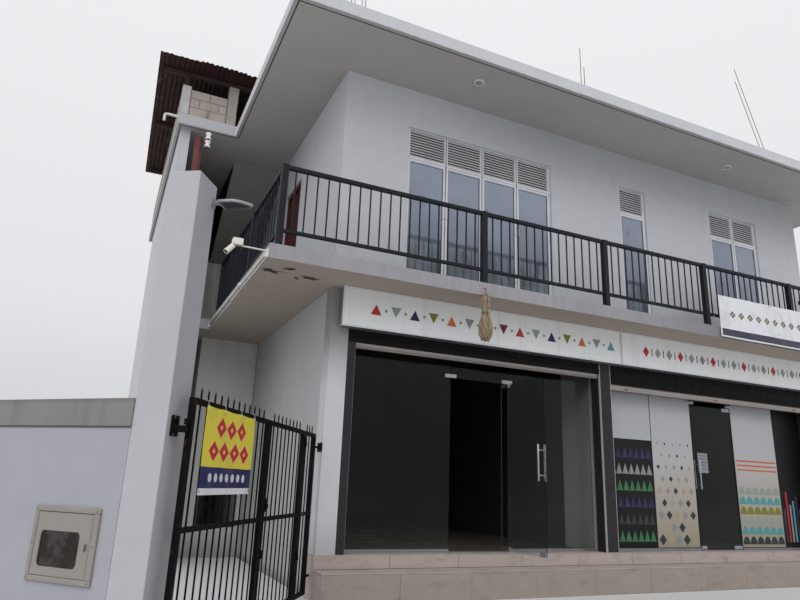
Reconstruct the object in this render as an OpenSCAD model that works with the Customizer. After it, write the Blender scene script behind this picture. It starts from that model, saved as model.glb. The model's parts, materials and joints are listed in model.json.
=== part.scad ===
// Two-storey corner shop building with a wrap-round balcony, a deep flat roof,
// two glazed shops below, and a steel side gate hung on a tall pier.
// Millimetres, +Z up. Inside the modules X runs along the shop front, Y into the
// depth, and z = 0 is the shop floor. place() moves the origin to the middle of
// the plinth's underside.

/* [Building] */
// Width of the shop front
front_w = 8900; // [8850:10:9300]
// Depth of the building from the shop front to the rear wall
depth = 8000; // [7600:50:8600]
// Thickness of the masonry walls
wall_t = 200; // [150:10:220]
// Height of the shop floor above the lowest ground
base_h = 450; // [420:10:600]
// Height from the shop floor to the underside of the balcony slab
shop_h = 3049; // [3000:1:3150]
// Thickness of the balcony and first-floor slab
slab_t = 169; // [140:1:200]
// Height from the balcony floor to the roof soffit
upper_h = 2877; // [2800:1:3100]

/* [Roof and balcony] */
// Thickness of the roof slab's edge
roof_t = 183; // [150:1:220]
// Overhang of the roof in front of the shop front
roof_front = 1015; // [800:5:1200]
// Overhang of the roof at each side
roof_side = 1018; // [990:1:1200]
// Overhang of the roof behind the rear wall
roof_rear = 450; // [200:10:800]
// Projection of the front balcony
balcony_front = 659; // [600:1:800]
// Projection of the side balcony
balcony_side = 960; // [940:1:990]
// Height of the railing above the balcony floor
rail_h = 1000; // [900:10:1100]
// Distance from the slab's edge to the railing's centre line
rail_inset = 116; // [80:1:140]
// Side of the square railing posts
post_s = 75; // [60:1:80]
// Side of the square pickets
picket_s = 16; // [12:1:20]

/* [Shop front] */
// Side of the white corner column
column_s = 230; // [200:5:250]
// Distance of the glass behind the shop front
glass_y = 280; // [260:5:300]
// Thickness of the toughened glass
glass_t = 12; // [10:1:12]
// Left edge of the first shop's doorway
door1_x = 1800; // [1600:10:1900]
// Left edge of the second shop's doorway
door2_x = 6120; // [6000:10:6300]
// Width of both doorways
door_w = 890; // [850:5:920]
// Height of the first shop's glass door
door1_h = 2150; // [2050:10:2160]
// Height of the second shop's glass door
door2_h = 2170; // [2050:10:2170]
// Angle that the first shop's door stands open
door1_open = 93; // [60:1:100]

/* [Upper windows] */
// Height of the window sills above the balcony floor
sill_h = 32; // [20:1:60]
// Height of the window heads above the balcony floor
head_h = 2297; // [2200:1:2400]
// Height of the transom bars above the balcony floor
transom_h = 1852; // [1750:1:1900]
// Width of the window frame bars
bar_w = 50; // [40:1:60]

/* [Side gate] */
// Direction of the gate line, turned from +X
gate_turn = 237.26; // [235:0.01:239]
// Height of the gate's top rail above the shop floor
gate_top = 1270; // [1150:5:1350]
// Height of the gate's middle rail above the shop floor
gate_mid = 440; // [380:5:520]
// Spacing of the gate's pickets
gate_pitch = 124.5; // [115:0.5:130]
// Height of the pier above the shop floor
pier_h = 2900; // [2600:10:3000]
// Length of the boundary wall beside the pier
wall_len = 1700; // [1400:10:2000]

/* [Hidden] */
$fn = 32;

floor2 = shop_h + slab_t;            // balcony floor
soffit = floor2 + upper_h;           // underside of the roof slab
roof_z = soffit + roof_t;            // top of the roof slab
bay_x = -1920;                       // left edge of the wide part of the roof
bay_y = 2500;                        // where the roof steps out to the left
bay_wall_x = -1850;                  // outer face of the bay's left wall
rail_end = 3350;                     // where the side railing ends at the bay
stair_y = 3650;                      // front edge of the stair's opening in the roof
risers = 17;
tread = 235;
mid_x0 = 4075;                       // middle post between the shops
mid_x1 = 4275;
box1_z = 2410;                       // underside of the first shutter box
box2_z = 2300;                       // underside of the second shutter box
rail_y = -balcony_front + rail_inset;
rail_x = -balcony_side + rail_inset;
hinge1_x = door1_x + door_w - 60;    // pivots of the glass doors
hinge2_x = door2_x + door_w - 60;
win = [[930, 3310, 4], [4660, 5200, 1], [6670, 7820, 2]];   // x0, x1, lights
rear_win = [[1500, 2650, 2], [6250, 7400, 2]];

module place() translate([-front_w / 2, -depth / 2, base_h]) children();
module bx(x0, x1, y0, y1, z0, z1) translate([x0, y0, z0]) cube([x1 - x0, y1 - y0, z1 - z0]);
// the gate's own frame: x runs from the building to the pier, y to the street
module gate_frame() translate([-100, 0, 0]) rotate([0, 0, gate_turn]) children();

// ---- masonry ----
module plinth() color([0.62, 0.57, 0.52]) place() bx(-10, front_w, -10, depth, -base_h, 0);
module front_step() color([0.66, 0.61, 0.55]) place() bx(-10, front_w, -320, -10, -base_h, -150);
module corner_column() color([0.85, 0.86, 0.88]) place() bx(0, column_s, 0, column_s, 0, shop_h);
module partition_wall() color([0.82, 0.82, 0.84]) place() bx(4100, mid_x1, 190, depth - wall_t, 0, shop_h);
module ground_left_wall() color([0.84, 0.85, 0.87]) place() bx(0, wall_t, column_s, depth, 0, shop_h);
module ground_right_wall() color([0.84, 0.85, 0.87]) place() bx(front_w - wall_t, front_w, 0, depth, 0, shop_h);
module ground_rear_wall() color([0.84, 0.85, 0.87]) place() bx(wall_t, front_w - wall_t, depth - wall_t, depth, 0, shop_h);
module alley_end_wall() color([0.70, 0.70, 0.70]) place() difference() {
  bx(-810, -10, 4000, 4150, -base_h, shop_h);
  bx(-720, -90, 3900, 4250, 0, 1650);
}
module first_floor_slab() color([0.60, 0.58, 0.56]) place() translate([0, 0, shop_h]) linear_extrude(slab_t)
  polygon([[-balcony_side, -balcony_front], [front_w, -balcony_front], [front_w, depth], [-balcony_side, depth],
           [-balcony_side, depth - wall_t], [bay_wall_x + 150, depth - wall_t], [bay_wall_x + 150, 3300],
           [-balcony_side, 3300]]);
module upper_front_wall() color([0.85, 0.86, 0.88]) place() difference() {
  bx(0, front_w, 0, wall_t, floor2, soffit);
  for (w = win) bx(w[0], w[1], -50, wall_t + 50, floor2 + sill_h, floor2 + head_h);
}
module upper_left_wall() color([0.84, 0.85, 0.87]) place() difference() {
  bx(0, wall_t, wall_t, depth, floor2, soffit);
  bx(-50, wall_t + 50, 2000, 2900, floor2 - 50, floor2 + 2170);
}
module upper_right_wall() color([0.84, 0.85, 0.87]) place() bx(front_w - wall_t, front_w, wall_t, depth, floor2, soffit);
module upper_rear_wall() color([0.84, 0.85, 0.87]) place() difference() {
  bx(wall_t, front_w - wall_t, depth - wall_t, depth, floor2, soffit);
  for (w = rear_win) bx(w[0], w[1], depth - wall_t - 50, depth + 50, floor2 + 900, floor2 + head_h);
}
// the flight from the balcony floor at the rear up to the roof, closed along its left side
module roof_stair() color([0.64, 0.63, 0.62]) place() {
  h = (roof_z - floor2) / risers;
  y0 = stair_y - 250;
  translate([-860, 0, 0]) rotate([90, 0, 90]) linear_extrude(60)
    polygon([[y0, soffit], [stair_y, soffit], [stair_y, roof_z], [stair_y + 2950, roof_z],
             [stair_y + 2950, soffit - (stair_y + 2950 - y0) * h / tread]]);
  translate([-860, 0, 0]) rotate([90, 0, 90]) linear_extrude(860) polygon(concat(
    [[stair_y, soffit], [y0, soffit], [y0 + (soffit - floor2) * tread / h, floor2]],
    [for (i = [0 : risers - 2]) for (k = [0, 1])
      [stair_y + (risers - 1 - i) * tread, floor2 + (i + k) * h]],
    [[stair_y, floor2 + (risers - 1) * h]]));
}
module bay_left_wall() color([0.84, 0.85, 0.87]) place() bx(bay_wall_x, bay_wall_x + 150, 2650, depth, -base_h, soffit);
module bay_inner_wall() color([0.70, 0.70, 0.70]) place()
  bx(-balcony_side, -810, 4000, depth - wall_t, -base_h, shop_h);
// low wall beside the railing's end, with a steel rail on top
module bay_parapet() color([0.60, 0.59, 0.58]) place() {
  bx(bay_wall_x + 150, rail_x - post_s / 2, rail_end - 35, rail_end + 35, floor2, floor2 + rail_h - 50);
  bx(bay_wall_x + 150, rail_x - post_s / 2, rail_end - 25, rail_end + 25, floor2 + rail_h - 50, floor2 + rail_h);
}
module bay_rear_wall() color([0.84, 0.85, 0.87]) place() difference() {
  bx(bay_wall_x + 150, -10, depth - wall_t, depth, -base_h, soffit);
  bx(-balcony_side, 100, depth - wall_t - 50, depth + 50, shop_h, floor2);
}

// ---- shop front ----
module shutter_guides() color([0.19, 0.15, 0.16]) place() {
  bx(column_s, column_s + 105, 10, 110, 0, box1_z);
  bx(mid_x0, mid_x1, 0, 190, 0, 2559);
  bx(front_w - wall_t - 90, front_w - wall_t, 10, 110, 0, box2_z);
}
module shutter_boxes() color([0.14, 0.11, 0.12]) place() {
  bx(column_s, mid_x0, 0, 340, box1_z, shop_h);
  bx(mid_x1, front_w - wall_t, 0, 340, box2_z, shop_h);
}
module shutter_bottom_bars() color([0.50, 0.45, 0.42]) place() {
  translate([column_s + 110, 60, box1_z - 34]) rotate([0, 90, 0]) cylinder(r = 32, h = mid_x0 - column_s - 115);
  bx(mid_x1 + 5, front_w - wall_t - 95, 40, 80, box2_z - 92, box2_z - 2);
}
module signboards() color([0.88, 0.88, 0.90]) place() {
  bx(90, 4378, -142, 0, 2559, shop_h);
  bx(4386, 8810, -142, 0, 2559, shop_h);
}
module pane(x0, x1, z0, z1) bx(x0, x1, glass_y - glass_t / 2, glass_y + glass_t / 2, z0, z1);
module shop1_fixed_glass() color([0.55, 0.62, 0.65, 0.4]) place() {
  pane(column_s + 95, door1_x - 6, 10, box1_z);
  pane(door1_x + 2, door1_x + door_w - 2, door1_h + 8, box1_z);
  pane(door1_x + door_w + 6, 4096, 10, box1_z);
}
module shop2_fixed_glass() color([0.55, 0.62, 0.65, 0.4]) place() {
  pane(mid_x1 + 4, door2_x - 6, 10, box2_z);
  pane(door2_x + 2, door2_x + door_w - 2, door2_h + 8, box2_z);
  pane(door2_x + door_w + 6, front_w - wall_t - 4, 10, box2_z);
}
module channel(x0, x1) difference() {
  bx(x0, x1, glass_y - 22, glass_y + 22, 0, 34);
  bx(x0 - 10, x1 + 10, glass_y - glass_t / 2, glass_y + glass_t / 2, 10, 60);
}
module glass_channels() color([0.60, 0.60, 0.62]) place() {
  channel(column_s + 95, door1_x - 6);
  channel(door1_x + door_w + 6, 4096);
  channel(mid_x1 + 4, door2_x - 6);
  channel(door2_x + door_w + 6, front_w - wall_t - 4);
  for (x = [door1_x, door2_x]) bx(x, x + door_w, glass_y - 45, glass_y + 45, 0, 7);
}
// a glass leaf drawn closed, with its pivot at the origin and its free side to -X
module leaf_glass(h) difference() {
  translate([-door_w + 66, -glass_t / 2, 16]) cube([door_w - 12, glass_t, h - 22]);
  translate([-8, -glass_t / 2 - 10, 0]) cube([80, glass_t + 20, 36]);
  translate([-8, -glass_t / 2 - 10, h - 26]) cube([80, glass_t + 20, 60]);
}
module leaf_patch(x0, x1, z0, z1) difference() {
  translate([x0, -17, z0]) cube([x1 - x0, 34, z1 - z0]);
  translate([-door_w + 66, -glass_t / 2, 16]) cube([door_w - 74, glass_t, 3000]);
}
module leaf_fittings(h) {
  difference() {
    union() {
      leaf_patch(-120, 50, 13, 64);
      translate([0, 0, 8]) cylinder(r = 9, h = 7);
    }
    translate([-8, -glass_t / 2, 36]) cube([80, glass_t, 100]);
  }
  difference() {
    union() {
      leaf_patch(-120, 50, h - 54, h - 3);
      translate([0, 0, h - 5]) cylinder(r = 9, h = 8);
    }
    translate([-8, -glass_t / 2, 16]) cube([80, glass_t, h - 42]);
  }
  leaf_patch(-door_w + 68, -door_w + 68 + 110, 13, 64);
  for (s = [-1, 1]) {
    for (z = [950, 1250]) translate([-door_w + 130, s * glass_t / 2, z]) rotate([-90 * s, 0, 0]) cylinder(r = 8, h = 40);
    translate([-door_w + 130, s * (glass_t / 2 + 46), 880]) cylinder(r = 12, h = 440);
  }
}
module at_door1() translate([hinge1_x, glass_y, 0]) rotate([0, 0, door1_open]) children();
module at_door2() translate([hinge2_x, glass_y, 0]) children();
module shop1_door_glass() color([0.60, 0.68, 0.70, 0.4]) place() at_door1() leaf_glass(door1_h);
module shop1_door_fittings() color([0.70, 0.70, 0.72]) place() at_door1() leaf_fittings(door1_h);
module shop2_door_glass() color([0.60, 0.68, 0.70, 0.4]) place() at_door2() leaf_glass(door2_h);
module shop2_door_fittings() color([0.85, 0.85, 0.86]) place() at_door2() leaf_fittings(door2_h);

// ---- windows and upper doors ----
// frame standing in the X-Z plane: lights side by side, with vents above a transom
module window_frame(x0, x1, n, y0, z0, z1, zt) difference() {
  bx(x0, x1, y0, y0 + 60, z0, z1);
  for (i = [0 : n - 1]) {
    step = (x1 - x0 - bar_w) / n;
    a = x0 + bar_w + i * step;
    bx(a, a + step - bar_w, y0 - 10, y0 + 70, z0 + bar_w, zt - bar_w / 2);
    bx(a, a + step - bar_w, y0 - 10, y0 + 34, zt + bar_w / 2, z1 - bar_w);
    bx(a, a + step - bar_w, y0 + 42, y0 + 70, zt + bar_w / 2, z1 - bar_w);
  }
}
module front_window_frames() color([0.88, 0.88, 0.89]) place() for (w = win)
  window_frame(w[0], w[1], w[2], 30, floor2 + sill_h, floor2 + head_h, floor2 + transom_h);
module rear_window_frames() color([0.88, 0.88, 0.89]) place() for (w = rear_win)
  window_frame(w[0], w[1], w[2], depth - 90, floor2 + 900, floor2 + head_h, floor2 + transom_h);
module window_glass() color([0.35, 0.40, 0.44, 0.6]) place() {
  for (w = win) for (i = [0 : w[2] - 1]) {
    step = (w[1] - w[0] - bar_w) / w[2];
    a = w[0] + bar_w + i * step;
    bx(a, a + step - bar_w, 57, 63, floor2 + sill_h + bar_w, floor2 + transom_h - bar_w / 2);
  }
  for (w = rear_win) for (i = [0 : w[2] - 1]) {
    step = (w[1] - w[0] - bar_w) / w[2];
    a = w[0] + bar_w + i * step;
    bx(a, a + step - bar_w, depth - 63, depth - 57, floor2 + 900 + bar_w, floor2 + transom_h - bar_w / 2);
  }
}
module side_door() color([0.30, 0.12, 0.10]) place() {
  difference() {
    bx(30, 150, 2000, 2900, floor2, floor2 + 2170);
    bx(0, 200, 2060, 2840, floor2 - 20, floor2 + 2110);
  }
  bx(60, 105, 2060, 2840, floor2 + 8, floor2 + 2110);
}

// ---- railings ----
module picket_row(n, len) for (i = [1 : n]) translate([i * len / (n + 1), 0, 0]) children();
// a run of railing along +X from the origin, without its end posts
module rail_run(len, n) {
  translate([0, -25, rail_h - 50]) cube([len, 50, 50]);
  translate([0, -20, 186]) cube([len, 40, 40]);
  picket_row(n, len) translate([-picket_s / 2, -picket_s / 2, 200]) cube([picket_s, picket_s, rail_h - 230]);
}
module rail_post() translate([-post_s / 2, -post_s / 2, 0]) cube([post_s, post_s, rail_h]);
front_posts = [rail_x, 1793, 3778, 5721, 7684, front_w - rail_inset];
module front_railing() color([0.14, 0.15, 0.17]) place() translate([0, rail_y, floor2]) union() {
  for (i = [0 : 4]) translate([front_posts[i], 0, 0])
    rail_run(front_posts[i + 1] - front_posts[i], i == 0 ? 19 : i == 4 ? 7 : 14);
  for (x = front_posts) translate([x, 0, 0]) rail_post();
}
side_posts = [rail_y + 1510, rail_y + 3020, rail_end];
module side_railing() color([0.14, 0.15, 0.17]) place() translate([rail_x, 0, floor2]) union() {
  for (i = [0 : 2]) {
    a = i == 0 ? rail_y + post_s / 2 : side_posts[i - 1];
    translate([0, a, 0]) rotate([0, 0, 90]) rail_run(side_posts[i] - a, i == 2 ? 5 : 10);
  }
  for (y = side_posts) translate([0, y, 0]) rail_post();
}
module end_railing() color([0.14, 0.15, 0.17]) place() translate([front_w - rail_inset, rail_y + post_s / 2, floor2])
  rotate([0, 0, 90]) rail_run(-rail_y - post_s / 2, 3);
module balcony_banner() color([0.90, 0.90, 0.91]) place() translate([5930, -592, floor2 + 530]) rotate([82.1, 0, 0])
  linear_extrude(12) polygon([[0, 0], [2300, 0], [2170, -694], [-130, -694]]);

// ---- roof ----
module roof_slab() color([0.60, 0.59, 0.58]) place() translate([0, 0, soffit]) linear_extrude(roof_t) difference() {
  polygon([[-roof_side, -roof_front], [front_w + roof_side, -roof_front],
           [front_w + roof_side, depth + roof_rear], [bay_x, depth + roof_rear],
           [bay_x, bay_y], [-roof_side, bay_y]]);
  translate([-860, stair_y]) square([860, 2950]);
}
module roof_parapet() color([0.66, 0.65, 0.63]) place() {
  bx(bay_x, bay_x + 135, bay_y, bay_y + 150, roof_z, 6785);
  bx(bay_x + 135, -1205, bay_y + 15, bay_y + 135, roof_z, 6740);
  bx(-1205, -1047, bay_y, bay_y + 150, roof_z, 6970);
  bx(bay_x, bay_x + 120, bay_y + 150, depth, roof_z, 6740);
}
can_y0 = 2180; can_z0 = 7060;        // front eave of the canopy
can_y1 = 6400; can_z1 = 6900;        // rear eave
can_turn = 1.1;                       // the canopy stands a little askew
function can_z(y) = can_z0 + (can_z1 - can_z0) * (y - can_y0) / (can_y1 - can_y0);
module roof_canopy() color([0.30, 0.20, 0.17]) place() {
  translate([-2330, can_y0, 0]) rotate([0, 0, -can_turn]) translate([0, -can_y0, 0]) {
    rotate([90, 0, 90]) linear_extrude(2520)
      polygon([[can_y0, can_z0], [can_y1, can_z1], [can_y1, can_z1 + 30], [can_y0, can_z0 + 30]]);
    for (y = [2575, 4300, 6200]) bx(80, 2460, y - 35, y + 35, can_z(y) - 66, can_z(y) + 4);
  }
  for (p = [[-1860, 2566, 6785], [60, 2529, roof_z], [-1860, 6191, 6740], [60, 6154, roof_z]])
    bx(p[0] - 25, p[0] + 25, p[1] - 25, p[1] + 25, p[2], can_z(p[1]) - 60);
}
module bar(a, b) hull() { translate(a) sphere(r = 6, $fn = 8); translate(b) sphere(r = 6, $fn = 8); }
module rod(x, y, h) translate([x, y, roof_z]) cylinder(r = 6, h = h, $fn = 12);
module starter_bars() color([0.32, 0.22, 0.18]) place() {
  for (p = [[35, 40, 1500], [195, 40, 1620], [35, 190, 1350], [195, 190, 1560]]) rod(p[0], p[1], p[2]);
  for (p = [[4040, 60, 1640], [4110, 60, 1300]]) rod(p[0], p[1], p[2]);
  for (p = [[front_w - 100, 60, 2540], [front_w - 60, 150, 2350]])
    difference() {
      translate([p[0], p[1], roof_z]) rotate([0, -20.2, 0]) translate([0, 0, -4]) cylinder(r = 6, h = p[2] / cos(20.2), $fn = 12);
      bx(p[0] - 50, p[0] + 50, p[1] - 50, p[1] + 50, roof_z - 50, roof_z);
    }
}

// ---- small fixtures ----
module security_camera() color([0.86, 0.86, 0.84]) place() {
  translate([-balcony_side, -620, 3130]) rotate([0, -90, 0]) cylinder(r = 9, h = 290);
  bx(-1345, -1235, -665, -575, 3112, 3205);
  translate([-1325, -628, 3128]) rotate([0, -140, 18]) cylinder(r = 31, h = 130);
}
module hanging_charm() color([0.62, 0.50, 0.36]) place() {
  translate([1720, -703, 0]) rotate_extrude($fn = 24)
    polygon([[0, 2460], [62, 2482], [92, 2550], [95, 2640], [74, 2720], [58, 2790], [56, 2900], [60, 2990],
             [40, 3045], [9, 3075], [9, 3134], [0, 3134]]);
  translate([1720, -690, 3130]) rotate([-90, 0, 0]) cylinder(r = 4, h = 31, $fn = 12);
}

// plastic conduits clipped along the left edge of the balcony slab
module conduit(x, z, y0, y1, r) translate([x, y0, z]) rotate([-90, 0, 0]) cylinder(r = r, h = y1 - y0, $fn = 20);
module edge_conduits() color([0.84, 0.84, 0.82]) place() {
  conduit(-balcony_side - 16, 3112, -600, 780, 16);
  conduit(-balcony_side - 16, 3127, 780, 3200, 16);
  conduit(-balcony_side - 25, 3120, 745, 815, 25);
  translate([-balcony_side - 16, 3200, 3127]) sphere(r = 16);
  translate([-balcony_side - 16, 3200, 3070]) cylinder(r = 16, h = 57, $fn = 20);
  conduit(-balcony_side - 10, 3066, -600, 1350, 10);
  bx(-balcony_side - 34, -balcony_side, -655, -595, 3052, 3108);
}
module soffit_lamps() color([0.80, 0.80, 0.78]) place()
  for (p = [[1680, -590], [6560, -520]]) translate([p[0], p[1], soffit - 16]) cylinder(r = 75, h = 16);
module parapet_spout() color([0.84, 0.84, 0.82]) place() {
  translate([bay_x, bay_y + 45, soffit + 125]) rotate([0, -90, 0]) cylinder(r = 21, h = 200, $fn = 24);
  translate([bay_x - 200, bay_y + 45, soffit + 125]) sphere(r = 21);
  translate([bay_x - 200, bay_y + 45, soffit + 5]) cylinder(r = 21, h = 120, $fn = 24);
}

// ---- gate, pier and boundary wall ----
pier_s0 = 2965; pier_s1 = 3257; pier_t0 = -325; pier_t1 = -85;
module gate_pier() color([0.84, 0.85, 0.87]) place() gate_frame()
  bx(pier_s0, pier_s1, pier_t0, pier_t1, -base_h, pier_h);
module wall_frame() translate([-2134, -2564, 0]) rotate([0, 0, 133.5]) children();
module boundary_wall() color([0.80, 0.80, 0.83]) place() difference() {
  wall_frame() union() {
    bx(-100, wall_len, -150, 0, -base_h, 1076);
    bx(-100, wall_len, -165, 12, 1076, 1257);
    translate([0, 0, 0]) bx(-100, -20, -150, 0, -base_h, 0);
  }
  wall_frame() bx(155, 660, -60, 50, 125, 530);
  gate_frame() bx(pier_s0 - 300, pier_s1 + 300, pier_t0, 400, -base_h - 50, 2000);
}
module meter_box() color([0.74, 0.72, 0.66]) place() wall_frame() union() {
  bx(155, 660, -60, 14, 125, 530);
  difference() {
    bx(130, 685, 0, 20, 100, 558);
    bx(180, 655, -10, 40, 135, 523);
  }
}
module service_mast() color([0.25, 0.10, 0.09]) place() gate_frame() {
  bx(3088, 3133, -233, -188, pier_h, pier_h + 350);
  for (z = [260, 325]) bx(3098, 3123, -190, -125, pier_h + z, pier_h + z + 6);
  translate([3110, -140, pier_h + 250]) cylinder(r = 6, h = 150, $fn = 16);
  for (z = [270, 335]) translate([3110, -140, pier_h + z]) cylinder(r = 22, h = 50);
}
module pier_lamp() color([0.55, 0.56, 0.57]) place() gate_frame() {
  bx(2982, 3022, pier_t1, 0, 2742, 2770);
  translate([0, 0, 2736]) linear_extrude(26)
    polygon([[2925, -30], [3068, -30], [3070, 95], [3040, 150], [2978, 212], [2955, 214], [2930, 180], [2920, 110]]);
}
leaf_z0 = -base_h + 70;
// a steel gate panel in the gate's frame, from s0 to s1, with n pickets
module gate_panel(s0, s1, n, stile) union() {
  for (s = [s0, s1 - stile]) bx(s, s + stile, -20, 20, leaf_z0, gate_top + 20);
  bx(s0, s1, -20, 20, gate_top - 20, gate_top + 20);
  bx(s0, s1, -16, 16, gate_mid - 18, gate_mid + 18);
  bx(s0, s1, -20, 20, leaf_z0, leaf_z0 + 40);
  step = (s1 - s0 - stile) / (n + 1);
  for (i = [1 : n]) translate([s0 + stile / 2 + i * step, 0, leaf_z0 + 20]) cylinder(r = 7, h = gate_top + 105 - leaf_z0 - 20, $fn = 8);
}
fix_s1 = 438; wick_s0 = 452; wick_s1 = 1552; wide_s0 = 1568; wide_s1 = 3120;
module gate_fixed_panel() color([0.07, 0.07, 0.08]) place() gate_frame() {
  gate_panel(0, fix_s1, 3, 40);
  for (z = [1150, -208]) difference() {
    bx(-210, 4, -12, 12, z - 12, z + 12);
    rotate([0, 0, -gate_turn]) translate([z > 0 ? 100 : 90, -500, -3000]) cube([2000, 2000, 6000]);
  }
  for (z = [1130, 0]) {
    bx(fix_s1 - 12, fix_s1 + 2, 20, 44, z, z + 40);
    translate([445, 34, z]) cylinder(r = 10, h = 40);
  }
}
module gate_wicket_leaf() color([0.07, 0.07, 0.08]) place() gate_frame() {
  gate_panel(wick_s0, wick_s1, 8, 40);
  for (z = [1130, 0]) {
    bx(450, 470, 20, 44, z + 46, z + 86);
    translate([445, 34, z + 46]) cylinder(r = 10, h = 40);
  }
  bx(wick_s1 - 70, wick_s1 - 20, 20, 40, 500, 620);
}
module pier_hinges() color([0.07, 0.07, 0.08]) place() gate_frame() for (z = [1050, -200]) {
  bx(3120, 3205, pier_t1, pier_t1 + 20, z - 25, z + 110);
  bx(3170, 3200, pier_t1 + 20, 14, z, z + 45);
  translate([3160, 0, z]) cylinder(r = 14, h = 45);
}
module gate_wide_leaf() color([0.07, 0.07, 0.08]) place() gate_frame() {
  gate_panel(wide_s0, wide_s1, 12, 44);
  for (z = [1050, -200]) {
    bx(3100, 3160, -8, 8, z + 52, z + 92);
    translate([3160, 0, z + 52]) cylinder(r = 14, h = 40);
  }
}
module gate_banner() color([0.80, 0.72, 0.15]) place() gate_frame() bx(1962, 2922, 20, 23, 655, 1262);

plinth();
front_step();
corner_column();
shutter_guides();
shutter_boxes();
shutter_bottom_bars();
partition_wall();
shop1_fixed_glass();
shop2_fixed_glass();
glass_channels();
shop1_door_glass();
shop1_door_fittings();
shop2_door_glass();
shop2_door_fittings();
signboards();
ground_left_wall();
ground_right_wall();
ground_rear_wall();
alley_end_wall();
first_floor_slab();
upper_front_wall();
upper_left_wall();
upper_right_wall();
upper_rear_wall();
roof_stair();
bay_left_wall();
bay_inner_wall();
bay_rear_wall();
front_window_frames();
rear_window_frames();
window_glass();
side_door();
bay_parapet();
front_railing();
side_railing();
end_railing();
balcony_banner();
roof_slab();
roof_parapet();
roof_canopy();
starter_bars();
security_camera();
hanging_charm();
gate_pier();
pier_lamp();
boundary_wall();
meter_box();
gate_fixed_panel();
pier_hinges();
gate_wicket_leaf();
gate_wide_leaf();
gate_banner();
service_mast();
edge_conduits();
soffit_lamps();
parapet_spout();
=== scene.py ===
import json
import math
import random

import bmesh
import bpy
from mathutils import Matrix, Vector

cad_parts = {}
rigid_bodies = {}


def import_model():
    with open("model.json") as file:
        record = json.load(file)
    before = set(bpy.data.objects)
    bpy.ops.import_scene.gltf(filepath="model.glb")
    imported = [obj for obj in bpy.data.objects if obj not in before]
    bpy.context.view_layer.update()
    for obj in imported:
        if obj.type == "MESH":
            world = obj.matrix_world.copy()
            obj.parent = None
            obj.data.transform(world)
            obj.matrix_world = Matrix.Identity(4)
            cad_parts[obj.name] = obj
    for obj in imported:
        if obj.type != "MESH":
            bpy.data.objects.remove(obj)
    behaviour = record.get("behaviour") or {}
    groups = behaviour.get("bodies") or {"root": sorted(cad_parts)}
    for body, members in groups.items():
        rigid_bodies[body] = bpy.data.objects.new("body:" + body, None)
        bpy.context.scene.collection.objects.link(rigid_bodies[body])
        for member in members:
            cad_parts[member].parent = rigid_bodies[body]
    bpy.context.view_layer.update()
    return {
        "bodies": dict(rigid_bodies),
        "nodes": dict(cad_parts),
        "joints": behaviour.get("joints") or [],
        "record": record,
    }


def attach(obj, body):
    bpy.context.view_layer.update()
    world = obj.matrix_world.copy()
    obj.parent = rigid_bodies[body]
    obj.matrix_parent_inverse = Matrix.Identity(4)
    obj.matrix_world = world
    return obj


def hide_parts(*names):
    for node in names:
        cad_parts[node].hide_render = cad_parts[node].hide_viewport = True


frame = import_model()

scene = bpy.context.scene
NODES = frame["nodes"]

# Frames. Building frame: X along the shop front, Y into the depth, z = 0 at the shop floor.
OX, OY, OZ = -4.45, -4.0, 0.45
BUILD = Matrix.Translation((OX, OY, OZ))
GATE = BUILD @ Matrix.Translation((-0.1, 0, 0)) @ Matrix.Rotation(math.radians(237.26), 4, "Z")
WALL = BUILD @ Matrix.Translation((-2.134, -2.564, 0)) @ Matrix.Rotation(math.radians(133.5), 4, "Z")
FLOOR2, SOFFIT, ROOF = 3.218, 6.095, 6.278

# ------------------------------------------------------------------ camera
R = ((0.90651118, -0.42044492, 0.03825629), (0.14933141, 0.23456839, -0.96056119), (0.39488935, 0.87647233, 0.2754245))
cam_data = bpy.data.cameras.new("camera")
cam_data.sensor_width = 36.0
cam_data.lens = 28.9085
cam_data.clip_start = 0.1
cam_data.clip_end = 400.0
cam = bpy.data.objects.new("camera", cam_data)
scene.collection.objects.link(cam)
rot = Matrix(((R[0][0], -R[1][0], -R[2][0]), (R[0][1], -R[1][1], -R[2][1]), (R[0][2], -R[1][2], -R[2][2])))
cam.matrix_world = Matrix.Translation((-6.77186, -11.13225, 1.23048)) @ rot.to_4x4()
scene.camera = cam


# ------------------------------------------------------------------ materials
def lin(c):
    c = c / 255.0
    return c / 12.92 if c <= 0.04045 else ((c + 0.055) / 1.055) ** 2.4


def rgb(r, g, b):
    return (lin(r), lin(g), lin(b), 1.0)


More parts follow.
